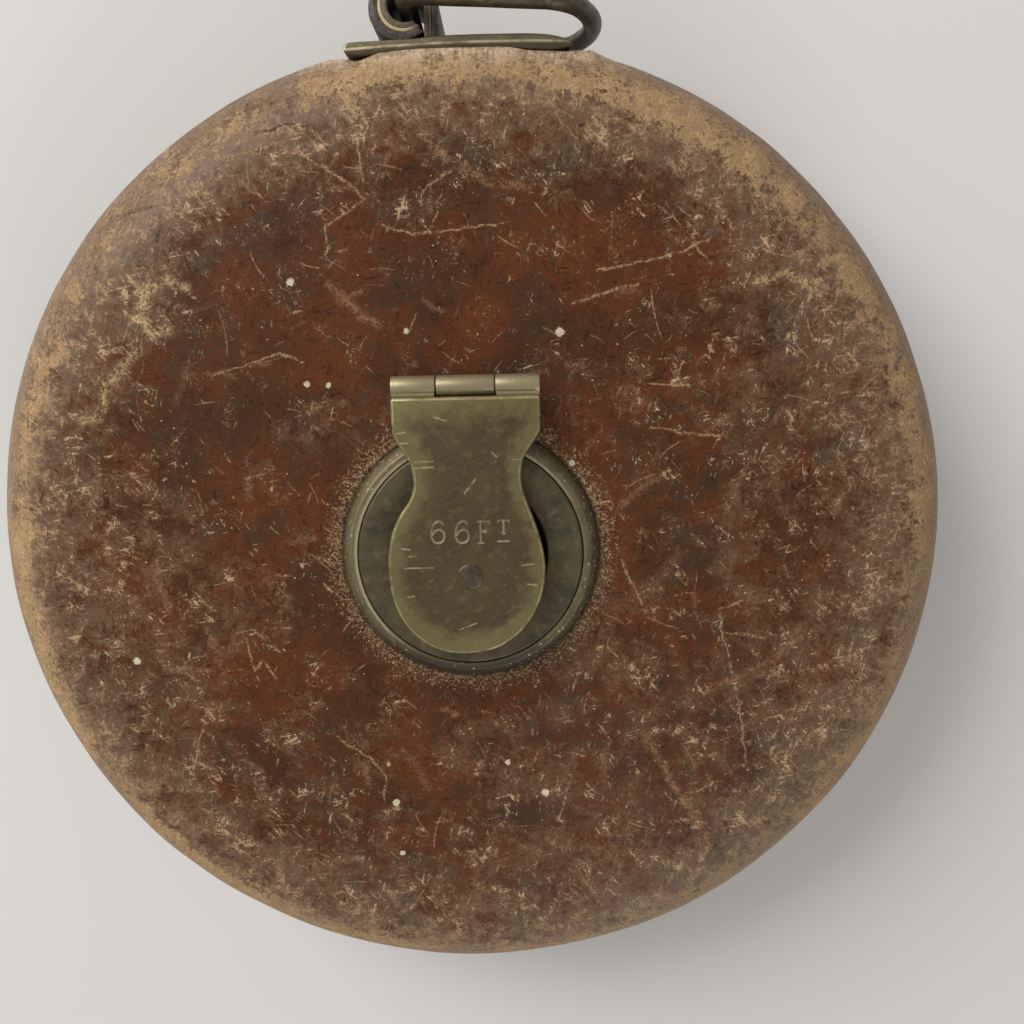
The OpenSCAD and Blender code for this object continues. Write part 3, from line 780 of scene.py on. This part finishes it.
def flapMarks(p):
    ragged = p.distanceTo(flapScratches, p.flat()) / 0.11 + (p.noise(0.3, 2, 0.7) - 0.5) * 2.4
    return p.step(ragged, 0.2, 1.2, 1, 0) * p.step(p.noise(0.9, 2), 0.38, 0.56, 0.25, 0.8)


handleLook = {
    "main": (86, 70, 46), "dark": (71, 58, 39), "pale": (116, 106, 66),
    "shine": (150, 138, 107), "scratch": (168, 156, 112), "rough": 0.42, "metallic": 0.6,
    "mottle": 3.0, "rubbedAndLit": flapBorder, "paintedHighlight": hingeShine, "marks": flapMarks}
handleBrass = paintBrass("handleBrass", handleLook)
leafBrass = paintBrass("leafBrass", dict(handleLook, rubbedAndLit=None, marks=None))
stampBrass = paintBrass("stampedBrass", {
    "main": (150, 138, 108), "dark": (118, 106, 80), "pale": (170, 158, 126),
    "rough": 0.5, "metallic": 0.5})


def ringShade(p):
    # painted shade along the lower part, and darker where the slope meets the leather
    lowPart = p.step(p.y + (p.noise(1.5, 3) - 0.5) * 3, -8, -13.5, 0, 0.85)
    foot = p.step(p.fromAxis() + (p.noise(0.5, 2) - 0.5) * 0.7, 14.7, 15.3, 0, 0.7)
    return lowPart.atLeast(foot)


def ringDust(p):
    # how thickly grains of dust lie, most at the foot of the slope
    return p.step(p.fromAxis() + (p.noise(1.2, 2) - 0.5) * 2, 13.4, 15.4, 0.05, 0.34)


def ringLitSide(p):
    # painted light: the left side, towards the lamp, is paler
    return p.step(p.x * 0.9 - p.y * 0.3 + (p.noise(2.4, 3) - 0.5) * 8, -7, -13, 0, 0.5)


def ringLipHighlight(p):
    # the inner lip is rubbed bright in places
    radius = p.fromAxis()
    # painted highlight on the inner lip, in places, towards the upper left
    lip = p.step(abs(radius - 13.55) + (p.noise(0.4, 2) - 0.5) * 0.25, 0.1, 0.3, 1, 0)
    upperLeft = p.step(p.y - p.x * 1.2 + (p.noise(5, 2) - 0.5) * 22, -6, 8, 0.1, 0.8)
    return lip * upperLeft


# the bearing ring: painted shade low down, a painted highlight on the lip and a painted lit left side, with
# real dust
ringBrass = paintBrass("ringBrass", {
    "main": (100, 88, 62), "dark": (70, 62, 42), "pale": (136, 122, 88),
    "shine": (168, 156, 124), "rough": 0.44, "metallic": 0.5, "mottle": 2.6, "paintedShade": ringShade,
    "paintedHighlight": ringLipHighlight, "rubbedAndLit": ringLitSide, "dust": ringDust})
cupBrass = paintBrass("cupBrass", {
    "main": (84, 72, 48), "dark": (54, 50, 34), "pale": (112, 99, 70),
    "rough": 0.48, "metallic": 0.5, "mottle": 4.0})
postBrass = paintBrass("postBrass", {
    "main": (86, 73, 54), "dark": (58, 48, 35), "pale": (124, 112, 88),
    "rough": 0.4, "metallic": 0.6, "mottle": 0.9})
# painted highlight on the handle's bevelled edges
edgeHighlightBrass = paintBrass("paintedEdgeHighlight", {
    "main": (150, 139, 98), "dark": (104, 94, 62), "pale": (184, 174, 130),
    "rough": 0.36, "metallic": 0.6, "mottle": 2.2})


def fromRidge(p):
    # height above the ridge along the plate's rounded front
    away = p.x - 4
    return p.y - 58.6 + away * away * 0.002 + (p.noise(2.5, 2) - 0.5) * 0.12


def plateShade(p):
    # painted shade: the lower half of the rounded front is darker
    return p.step(fromRidge(p), -0.35, 0.05, 0.62, 0) * p.step(p.z, 20, 22)


def plateRidge(p):
    # painted highlight along the ridge of the rounded front
    ridge = p.step(abs(fromRidge(p) - 0.06), 0.05, 0.2, 1, 0)
    return ridge * p.step(p.noise(2.2, 2), 0.38, 0.6, 0.25, 1) * p.step(p.z, 21, 22.5) * 0.75


# painted shade below the front ridge, and a painted highlight along it
plateBrass = paintBrass("plateBrass", {
    "main": (112, 104, 80), "dark": (88, 80, 60), "pale": (148, 138, 110),
    "shine": (196, 182, 146), "rough": 0.34, "metallic": 0.75, "mottle": 4.0, "paintedShade": plateShade,
    "paintedHighlight": plateRidge})
bailBronze = paintBrass("bailBronze", {
    "main": (86, 78, 60), "dark": (62, 55, 40), "pale": (122, 114, 94),
    "rough": 0.38, "metallic": 0.75, "mottle": 3.0})
brightBrass = paintBrass("brightBrass", {
    "main": (168, 142, 84), "dark": (130, 106, 62), "pale": (196, 172, 116),
    "rough": 0.34, "metallic": 0.9, "mottle": 5.0})


def paintSteel(name, main, dark, rough):
    p = Paint(name)
    radius = p.fromAxis()
    fine = p.noise(0.4, 3, 0.6)
    mottle = p.noise(5, 4, 0.65)
    rings = p.noise(0.12, 1, 0.5, p.combined(radius, p.z))
    p.colour = p.mix(p.step(mottle, 0.35, 0.68), main, dark)
    p.lay(p.step(rings, 0.35, 0.7) * 0.3, dark)
    p.lay(p.step(p.noise(1.2, 4, 0.7), 0.62, 0.72) * 0.6, (104, 78, 56))
    relief = rings * 0.6 + fine * 0.3
    return p.finish(p.step(fine, 0.3, 0.7, rough - 0.05, rough + 0.1), p.bump(relief, 0.02, 0.5), 0.85)


def paintLinen():
    p = Paint("linen")
    warp = p.noise(0.3, 1, 0.4, p.placed((1, 8, 1)))
    weft = p.noise(0.3, 1, 0.4, p.placed((8, 1, 1)))
    weave = warp * 0.5 + weft * 0.5
    p.colour = p.mix(weave, (206, 190, 148), (158, 140, 100))
    p.lay(p.step(p.noise(6, 4, 0.6), 0.45, 0.7) * 0.5, (150, 126, 88))
    # turns of the coil, seen from its sides
    radius = p.fromAxis()
    turn = (radius / 0.42).fraction()
    edgeOn = p.step(p.y, 54.45, 54.6, 1, 0)
    p.lay(p.step(abs(turn - 0.5), 0.32, 0.5) * edgeOn * 0.7, (84, 70, 50))
    # inch and foot lines on the stretch that comes out
    inches = ((p.y - 66.6) / 25.4).fraction()
    feet = ((p.y - 66.6) / 304.8).fraction()
    outside = p.step(p.y, 58.5, 59)
    inchLine = p.step(abs(inches - 0.5), 0.485, 0.492) * p.step(abs(p.z - 14), 4.4, 4.5)
    footLine = p.step(abs(feet - 0.5), 0.498, 0.4985)
    p.lay(inchLine.atLeast(footLine) * outside * 0.8, (40, 34, 28))
    # painted shade: the linen is darker on the right side of the loop, above the plate
    p.lay(p.step(p.x, -6.5, -4.5) * p.step(p.y, 57.5, 58.5) * 0.75, (62, 52, 40))
    return p.finish(0.8, p.bump(weave, 0.06, 0.8))


def paintWood():
    p = Paint("turnedWood")
    rings = p.noise(0.5, 3, 0.6, p.placed((1, 6, 6), 12))
    p.colour = p.mix(p.step(rings, 0.35, 0.65), (62, 38, 24), (34, 21, 14))
    p.lay(p.step(p.noise(0.2, 2, 0.5, p.placed((1, 9, 9), 12)), 0.6, 0.72) * 0.6, (20, 13, 9))
    return p.finish(p.step(rings, 0.3, 0.7, 0.26, 0.38), p.bump(rings, 0.03, 0.5))


def paintFloor():
    # near the object it shows the shadow, and further out it passes into the backdrop
    p = Paint("paleFloor")
    lit = p.node("BsdfPrincipled", {}, {
        "Base Color": tone(216, 213, 208), "Roughness": 0.95, "Specular IOR Level": 0.2})
    backdrop = p.node("Emission", {}, {"Color": (1, 1, 1, 1), "Strength": roomLight["seen"]})
    seen = p.node("LightPath", {}, {}, "Is Camera Ray")
    far = p.step(p.fromAxis(), 170, 430) * seen
    both = p.node("MixShader", {}, {0: far, 1: lit, 2: backdrop})
    p.node("OutputMaterial", {}, {"Surface": both})
    return p.material


leather = paintLeather("caseLeather", True)
leatherRear = paintLeather("rearLeather", False)
welt = paintWelt()
thread = paintThread()
steel = paintSteel("steel", (132, 130, 126), (92, 88, 82), 0.4)
tinned = paintSteel("tinnedSteel", (168, 166, 158), (122, 118, 108), 0.36)
linen = paintLinen()
wood = paintWood()
strapOuter = paintStrap("strapOuter", (70, 57, 45), (41, 32, 25))
strapInner = paintStrap("strapInner", (100, 87, 68), (66, 55, 43))
print("materials made")


caseSize = {
    "radius": 60, "edge": 10, "edgeX": 50, "frontEdgeZ": 17.97, "rearEdgeZ": 10,
    "domeR": 626, "domeZ": -596, "frontBore": 14.2, "rearBore": 8.05,
    "frontSeam": 14.6, "rearSeam": 13.4, "wall": 2.5, "mouthY": 57.8,
    "slot": (-4.9, -1.4, 5.5, 22.5),       # left, right, lowest, highest
    "slotDeep": (50, 70),                  # along Y, from inside the case to outside the plate
    "straightFront": 16.3, "straightRear": 11.7, "faceSteps": 18, "edgeSteps": 14,
    "swell": 15, "swellDepth": 0.34, "ripple": 5, "rippleDepth": 0.07,
    "recessR": 15.05, "recessZ": 1.3, "steps": 240,
    "channel": (11, 17, 59.82)}            # pressed in along the stitches: from, to, radius


def slotCutter():
    left, right, low, high = caseSize["slot"]
    inside, outside = caseSize["slotDeep"]
    return block("slotCut", (left, inside, low), (right, outside, high))


def flattenMouth(piece):
    flat = caseSize["mouthY"]
    pressedFlat(piece, lambda place: place.y > flat, (1, 0, 1), (0, flat, 0))


def coverShell(name, profile, size, dents):
    shell = turned(name, profile, size["steps"], closed=False)
    flattenMouth(shell)
    for place, move, reach in dents:
        pushAt(shell, place, move, reach)
    uneven(shell, name + "Swell", size["swell"], size["swellDepth"])
    uneven(shell, name + "Ripple", size["ripple"], size["rippleDepth"])
    low, high, pressed = size["channel"]
    for vertex in shell.data.vertices:
        x, y, z = vertex.co
        if low < z < high and y < size["mouthY"] - 0.4:
            r = math.hypot(x, y)
            vertex.co = (x * pressed / r, y * pressed / r, z)
    applied(shell, "SOLIDIFY", {"thickness": size["wall"], "offset": -1})
    carve(shell, slotCutter())
    return shell


def faceRadii(bore, edge):
    steps = caseSize["faceSteps"]
    return [bore + (edge[0][0] - bore) * i / steps for i in range(steps)]


def domeHeight(r):
    return caseSize["domeZ"] + math.sqrt(caseSize["domeR"] ** 2 - r ** 2)


def makeFrontCover():
    size = caseSize
    tangent = math.degrees(math.atan2(size["frontEdgeZ"] - size["domeZ"], size["edgeX"]))
    edge = arcPoints(size["edgeX"], size["frontEdgeZ"], size["edge"], tangent, 0, size["edgeSteps"])
    profile = [(r, domeHeight(r)) for r in faceRadii(size["frontBore"], edge)] + edge
    profile += [(size["radius"], size["straightFront"]), (size["radius"], size["frontSeam"])]
    dents = [
        ((-12.3, 57.8, 23.5), (0, -0.75, 0), 4.0), ((15.2, 57.4, 22.8), (0.1, 0.5, 0.35), 3.0),
        ((9.5, 57.8, 24), (0, -0.3, 0), 3.0)]
    shell = coverShell("frontCover", profile, size, dents)
    finished(shell, "case", leather, ["front_cover"])


def makeRearCover():
    size = caseSize
    edge = arcPoints(size["edgeX"], size["rearEdgeZ"], size["edge"], -90, 0, size["edgeSteps"])
    profile = [(r, 0) for r in faceRadii(size["rearBore"], edge)] + edge
    profile += [(size["radius"], size["straightRear"]), (size["radius"], size["rearSeam"])]
    # kept flat underneath, so that the case lies on it
    shell = coverShell("rearCover", profile, dict(size, swellDepth=0.12, rippleDepth=0.04), [])
    flatBelow = 0.15
    pressedFlat(shell, lambda place: place.z < flatBelow, (1, 1, 0), (0, 0, 0))
    carve(shell, rod("recess", (0, 0, -1), "z", size["recessZ"] + 1, size["recessR"], 128))
    finished(shell, "case", leatherRear, ["rear_cover"])


weltSize = {"inner": 57.4, "outer": 60.2, "low": 13.4, "high": 14.6, "round": 0.4}


def makeSeamWelt():
    w = weltSize
    profile = [
        (w["inner"], w["low"]), (w["outer"] - w["round"], w["low"]), (w["outer"], w["low"] + w["round"]),
        (w["outer"], w["high"] - w["round"]), (w["outer"] - w["round"], w["high"]), (w["inner"], w["high"])]
    strip = turned("seamWelt", profile, caseSize["steps"])
    flattenMouth(strip)
    carve(strip, slotCutter())
    finished(strip, "case", welt, ["seam_welt"])


stitchSize = {
    "count": 84, "radius": 59.92, "half": 1.5, "thick": 0.28, "low": 11.4, "apart": 5.2, "clear": 19}


def makeSeamStitches():
    size = stitchSize
    start = math.radians(90 - size["clear"])      # the spin goes round clockwise
    sweep = math.radians(360 - 2 * size["clear"])
    half = size["half"]
    bend = [(-0.8, -half), (-0.1, -0.75 * half), (0, 0), (-0.1, 0.75 * half), (-0.8, half)]
    points = []
    for sink, along in bend:
        r = size["radius"] + sink
        angle = start + along / size["radius"]
        points.append((r * math.cos(angle), r * math.sin(angle), size["low"] + 0.12 * along))
    stitches = wire("seamStitches", points, size["thick"], sides=1)
    editAll(stitches)
    bpy.ops.mesh.spin(
        steps=size["count"] - 1, angle=sweep, dupli=True, center=(0, 0, 0), axis=(0, 0, 1))
    bpy.ops.mesh.select_all(action="SELECT")
    bpy.ops.mesh.duplicate_move(TRANSFORM_OT_translate={"value": (0, 0, size["apart"])})
    facesOut()
    finished(stitches, "case", thread, ["seam_stitching"], smooth=60)


plateSize = {
    "low": 4.8, "high": 23.2, "nose": 0.66,
    "top": [(-13.2, 58.5), (-12.3, 58.9), (-8.5, 59.05), (-4.5, 59.2), (-1, 59.42), (3, 59.5),
            (7.5, 59.5), (10, 59.38), (11.8, 59.05), (12.9, 58.6)],
    "end": [(13.2, 58.25), (13.05, 57.95)],
    "bottom": [(12.2, 57.75), (10.6, 57.55), (8.6, 57.65), (5.5, 57.8), (1, 57.8), (-2.5, 57.7), (-7, 57.5),
               (-10.7, 57.35), (-12.1, 57.32)],
    "tip": [(-12.9, 57.5), (-13.2, 57.9)]}


def makeMouthPlate():
    size = plateSize
    outline = smoothLine(size["top"], 4) + size["end"] + smoothLine(size["bottom"], 4) + size["tip"]
    plate = plateShape("mouthPlate", outline, size["low"], size["high"])
    softened(plate, size["nose"], 4, 60)
    carve(plate, slotCutter())
    uneven(plate, "plateWave", 9, 0.2)
    finished(plate, "case", plateBrass, ["mouth_plate"], smooth=50)


rivetSize = {"head": 1.3, "rise": 0.35, "sunk": 0.6, "apart": 10.6, "top": 58.75, "z": 14}


def makeMouthRivets():
    size = rivetSize
    rivets = []
    for side in (-1, 1):
        profile = domePoints(size["head"], size["rise"]) + [(size["head"], -size["sunk"]), (0, -size["sunk"])]
        rivet = turned("rivet", profile, 32, closed=False)
        rivets.append(turnedTo(rivet, (-90, 0, 0), (side * size["apart"], size["top"], size["z"])))
    piece = joined("mouthRivets", rivets)
    finished(piece, "case", cupBrass, ["mouth_rivets"])


# the turned parts: outline as (radius, height), and where they differ the steps round, the
# width of the rounding, whether the outline is open on the axis, a cut, and a place along Y
turnedParts = {
    "frontFerrule": {
        "body": "case", "paint": ringBrass, "node": "front_ferrule", "round": 0.12, "outline": [
            (13.38, 25.3), (15.48, 25.3), (15.48, 25.9), (14.08, 25.9), (14.08, 30), (14.28, 30),
            (15.3, 29.91), (15.3, 30.16), (14.28, 31.5), (13.38, 31.5)]},
    "windingCup": {
        "body": "drum", "paint": cupBrass, "node": "winding_cup", "round": 0.12, "open": True, "outline": [
            (0, 19.5), (13.3, 19.5), (13.3, 31.4), (13.1, 31.6), (9.2, 31.6), (9, 31.4), (9, 21), (0, 21)]},
    "rearFerrule": {
        "body": "case", "paint": cupBrass, "node": "rear_ferrule", "round": 0.12, "outline": [
            (7, 0.1), (14.5, 0.1), (15, 0.6), (15, 1.3), (8, 1.3), (8, 3.6), (10, 3.6), (10, 4), (7, 4)]},
    "rearJournal": {
        "body": "drum", "paint": cupBrass, "node": "rear_journal", "steps": 128, "outline": [
            (2.5, 4), (6.92, 4), (6.92, 0.85), (6.75, 0.55), (6.52, 0.45), (3.5, 0.45), (3.3, 0.6),
            (3.3, 2), (2.5, 2)]},
    "spindleScrew": {
        "body": "drum", "paint": steel, "node": "spindle_screw", "slot": "steel", "steps": 96, "open": True,
        "cut": ((-6, -0.4, 0), (6, 0.4, 1.15)), "outline": [
            (0, 0.55), (2.9, 0.57), (3.2, 0.8), (3.2, 1.95), (2.5, 1.95), (2.5, 9), (0, 9)]},
    "handlePost": {
        "body": "handle", "paint": postBrass, "node": "handle_post", "steps": 64, "open": True, "y": -2,
        "outline": domePoints(1.55, 0.25, 33.9) + [(1.55, 33.85), (1.2, 33.8), (1.2, 23.2), (0, 23.2)]},
    "knob": {
        "body": "knob", "paint": wood, "node": "knob", "slot": "turned_wood", "steps": 96, "y": -2,
        "outline": smoothLine([
            (1.4, 23.9), (3.0, 23.9), (4.5, 24.5), (5.3, 25.6), (5.38, 26.6), (4.9, 27.8), (3.9, 28.7),
            (3.1, 29.4), (2.85, 30.2), (3.0, 31.0), (3.5, 31.5)], 4) + [
            (3.8, 31.6), (3.8, 32.35), (3.65, 32.5), (1.4, 32.5)]}}


def makeTurned(name):
    part = turnedParts[name]
    piece = turned(name, part["outline"], part.get("steps", 192), closed="open" not in part)
    if "round" in part:
        softened(piece, part["round"], 2, 25)
    if "cut" in part:
        carve(piece, block("slotCut", *part["cut"]))
    if "y" in part:
        turnedTo(piece, move=(0, part["y"], 0))
    finished(piece, part["body"], part["paint"], [part["node"]])


def knuckle(name, left, right):
    f = flapSize
    barrel = rod(name, (left, f["hingeY"], f["hingeZ"]), "x", right - left, f["knuckleR"], 48)
    return softened(barrel, 0.14, 2, 40)


def hingeBore(radius):
    return rod("bore", (-20, flapSize["hingeY"], flapSize["hingeZ"]), "x", 40, radius, 24)


leafSize = {"half": 5.5, "start": 9.2, "end": 18.5, "low": 31.6, "high": 32.55}


def makeHingeLeaf():
    size = leafSize
    half, middle, low, high = size["half"], flapSize["middle"], size["low"], size["high"]
    leaf = block("hingeLeaf", (-half, size["start"], low), (half, size["end"], high))
    softened(leaf, 0.2, 2, 40)
    tongue = block("tongue", (-middle, size["end"] - 0.6, low), (middle, flapSize["hingeY"] - 0.5, high))
    carve(leaf, tongue, "UNION")
    carve(leaf, knuckle("middleKnuckle", -middle, middle), "UNION")
    carve(leaf, hingeBore(0.6))
    finished(leaf, "drum", leafBrass, ["hinge_leaf"])


# the length figure: strokes of each character in a box 1 wide and 1 high, where it
# starts, and its width and height
figureSix = [smoothLine([
    (0.86, 0.8), (0.74, 0.96), (0.5, 1), (0.25, 0.88), (0.09, 0.6), (0.06, 0.32), (0.2, 0.07), (0.5, 0),
    (0.8, 0.09), (0.93, 0.32), (0.82, 0.53), (0.55, 0.62), (0.28, 0.53), (0.1, 0.36)], 3)]
letterF = [
    [(0.05, 0), (0.6, 0)], [(0.32, 0), (0.32, 1)], [(0.05, 1), (0.95, 1), (0.95, 0.8)],
    [(0.32, 0.53), (0.68, 0.53)], [(0.68, 0.63), (0.68, 0.42)]]
letterT = [
    [(0.02, 0.78), (0.02, 1), (0.98, 1), (0.98, 0.78)], [(0.5, 1), (0.5, 0.05)], [(0.3, 0.05), (0.7, 0.05)]]
stampMarks = [
    (figureSix, -4.5, 2.15, 1.75, 2.55), (figureSix, -1.7, 2.1, 1.75, 2.55),
    (letterF, 0.75, 2.05, 1.65, 2.55), (letterT, 3.3, 3.05, 1.3, 1.6), ([[(0, 0), (1, 0)]], 3.2, 2.2, 1.4, 1)]


def makeHandleFlap():
    f = flapSize
    corners = [(f["half"], f["top"]), (-f["half"], f["top"])]
    outline = corners[:1] + smoothLine(f["line"], 4) + corners[1:]
    flap = plateShape("handleFlap", outline, f["low"], f["high"])
    flap.data.materials.append(handleBrass)
    # the bevels take the painted edge highlight
    flap.data.materials.append(edgeHighlightBrass)
    softened(flap, 0.34, 3, 50, 1)
    outer = f["middle"] + f["gap"]
    for side in (-1, 1):
        near, far = sorted((side * outer, side * f["half"]))
        corner = (near + 0.1, f["top"] - 0.6, f["low"] + 0.05)
        web = block("web", corner, (far - 0.1, f["top"] + 0.9, f["low"] + 0.42))
        carve(flap, web, "UNION")
        carve(flap, softened(knuckle("outerKnuckle", near, far), 0.16, 2, 50), "UNION")
    carve(flap, hingeBore(0.65))
    carve(flap, rod("postHole", (0, f["roundLow"], 30), "z", 6, 1.2, 32))
    for lines, x, y, width, height in stampMarks:
        for stroke in lines:
            line = [(x + u * width, y + v * height, f["high"] + 0.02) for u, v in stroke]
            groove = wire("groove", line, f["stamp"])
            groove.data.materials.clear()
            groove.data.materials.append(stampBrass)
            carve(flap, groove, "DIFFERENCE", "TRANSFER")
    finished(flap, "handle", None, ["handle_flap"], smooth=30)


loopSize = {
    "x": -6, "y": 63.3, "low": 6, "high": 22, "legBottom": 55.6, "tail": 302, "sag": 0.45,
    # name, inner and outer radius, how much shorter in degrees, slot and finish
    "layers": [
        ("strapOuter", 2.95, 3.7, 0, "strap_leather", strapOuter),
        ("strapCore", 2.62, 2.95, 0, "linen", linen),
        ("strapInner", 2.05, 2.62, 6, "strap_leather", strapInner)]}


def saggedArc(radius, start, end, steps):
    # round at the top, hanging a little lower and wider at the bottom left
    size = loopSize
    points = []
    for i in range(steps + 1):
        angle = start + (end - start) * i / steps
        lean = max(0, math.cos(math.radians(angle - 215))) ** 2
        r = radius + size["sag"] * lean * (radius / 3) ** 3
        turn = math.radians(angle)
        points.append((size["x"] + r * math.cos(turn), size["y"] + r * math.sin(turn)))
    return points


def makeLoopLayer(name, inner, outer, shorter, slot, paint):
    size = loopSize
    end = size["tail"] - shorter
    outside = saggedArc(outer, 0, end, 48)
    inside = saggedArc(inner, end - 4, 0, 44)
    outline = [(size["x"] + outer, size["legBottom"])] + outside + inside
    outline += [(size["x"] + inner, size["legBottom"])]
    layer = plateShape(name, outline, size["low"], size["high"])
    softened(layer, 0.14, 2, 50)
    uneven(layer, name + "Wave", 2.5, 0.12)
    finished(layer, "tape_end", paint, ["tape_end_loop"])


bandSize = {"half": 0.21, "coil": 54.56, "bend": 1.0, "legX": -3.15, "bottom": 55.6, "low": 6, "high": 22}


def makeTapeBand():
    # from the coil's tangent round a quarter bend into the slot
    b = bandSize
    corner = (b["legX"] + b["bend"], b["bottom"] - b["bend"])
    reach = math.hypot(*corner)
    peel = math.atan2(corner[1], corner[0]) - math.acos(b["coil"] / reach)
    around = (b["legX"] + b["bend"], b["bottom"])
    first = math.degrees(peel) + 180
    outer = arcPoints(around[0], around[1], b["bend"] + b["half"], first, 180, 12)
    inner = arcPoints(around[0], around[1], b["bend"] - b["half"], 180, first, 12)
    radii = (b["coil"] + b["half"], b["coil"] - b["half"])
    far, near = [(r * math.cos(peel), r * math.sin(peel)) for r in radii]
    band = plateShape("tapeBand", [near] + outer + inner + [far], b["low"], b["high"])
    # the two places it runs between, in metres; they are not read, and the band is left on no body
    between = {"from": "case", "to": "tape_end", "start": (0, 0.0545, 0), "end": (0, 0.0556, 0)}
    finished(band, between, linen, ["tape_lead"])


bailSize = {
    "wire": 1.15, "half": 11.4, "length": 22.2, "bow": 18, "endCorner": 5, "hingeCorner": 2.6, "droop": -3,
    "x": -6, "y": 63.3, "z": 14}


def makeBail():
    b = bailSize
    bowX = b["length"] - b["bow"]
    bowAngle = math.degrees(math.asin((b["half"] - b["endCorner"]) / (b["bow"] - b["endCorner"])))
    cornerX = bowX + (b["bow"] - b["endCorner"]) * math.cos(math.radians(bowAngle))
    near = arcPoints(b["hingeCorner"], b["half"] - b["hingeCorner"], b["hingeCorner"], 180, 90, 8)
    near += [(6, b["half"]), (9, b["half"]), (12, b["half"])]
    near += arcPoints(cornerX, b["half"] - b["endCorner"], b["endCorner"], 90, bowAngle, 8)
    near += arcPoints(bowX, 0, b["bow"], bowAngle - 5, 0, 5)
    path = near + [(x, -z) for x, z in near[-2::-1]]
    ring = wire("bail", [(x, 0, z) for x, z in path], b["wire"], closed=True, sides=8)
    turnedTo(ring, (0, 0, b["droop"]), (b["x"], b["y"], b["z"]))
    uneven(ring, "bailWear", 5, 0.12)
    finished(ring, "bail", bailBronze, ["bail"], smooth=60)


makeFrontCover()
makeRearCover()
makeSeamWelt()
makeSeamStitches()
makeMouthPlate()
makeMouthRivets()
for name in ("frontFerrule", "windingCup", "rearFerrule", "rearJournal", "spindleScrew"):
    makeTurned(name)
makeHingeLeaf()
makeHandleFlap()
makeTurned("handlePost")
makeTurned("knob")
for layer in loopSize["layers"]:
    makeLoopLayer(*layer)
makeTapeBand()
makeBail()
print("pieces made")

# the parts that keep their own shape
finishOf = {
    "front_liner": tinned, "rear_liner": tinned, "front_washer": brightBrass, "rear_washer": brightBrass,
    "spindle": steel, "drum_hub": steel, "front_cheek": tinned, "rear_cheek": tinned,
    "tape_anchor_pin": steel, "tape_coil": linen, "leaf_rivets": brightBrass, "hinge_pin": steel,
    "knob_washer": brightBrass}
for name, paint in finishOf.items():
    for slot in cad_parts[name].material_slots:
        slot.material = paint


# camera, lamps and floor
cameraSetting = {"place": (0.00484, 0.02824, 0.14643), "turn": (-11.37, -0.334, -1.30), "lens": 35.15}
tilt, roll, heading = [math.radians(angle) for angle in cameraSetting["turn"]]
facing = Matrix.Rotation(heading, 3, "Z") @ Matrix.Rotation(tilt, 3, "X") @ Matrix.Rotation(roll, 3, "Y")
bpy.ops.object.camera_add(location=cameraSetting["place"], rotation=facing.to_euler())
camera = bpy.context.object
camera.data.lens = cameraSetting["lens"]
camera.data.sensor_width = 36
camera.data.clip_start = 0.005
bpy.context.scene.camera = camera

lampSettings = [
    {"name": "windowLamp", "place": (-0.52, 0.5, 0.5), "size": 0.5, "power": 7.2},
    {"name": "fillLamp", "place": (0.3, -0.75, 0.5), "size": 0.5, "power": 2.2}]
for setting in lampSettings:
    away = Vector(setting["place"])
    bpy.ops.object.light_add(
        type="AREA", location=away, rotation=away.to_track_quat("Z", "Y").to_euler())
    lamp = bpy.context.object
    lamp.name = setting["name"]
    lamp.data.size = setting["size"]
    lamp.data.energy = setting["power"]

deselectAll()
bpy.ops.mesh.primitive_plane_add(size=4)
floor = bpy.context.object
floor.name = "floor"
floor.data.materials.append(paintFloor())

# the room lights the object softly, and is seen as a plain pale backdrop
sky = Paint("studio", block=bpy.data.worlds.new("studio"))
bpy.context.scene.world = sky.material
rays = [sky.node("LightPath", {}, {}, "Is " + kind + " Ray") for kind in ("Camera", "Glossy", "Transmission")]
seen = rays[0].atLeast(rays[1]).atLeast(rays[2])
level = sky.node("MapRange", {}, {
    "Value": seen, "To Min": roomLight["strength"], "To Max": roomLight["seen"]})
glow = sky.node("Background", {}, {"Color": (1, 1, 1, 1), "Strength": level})
sky.node("OutputWorld", {}, {"Surface": glow})
bpy.context.scene.view_settings.view_transform = "Standard"
print("camera and lamps set")
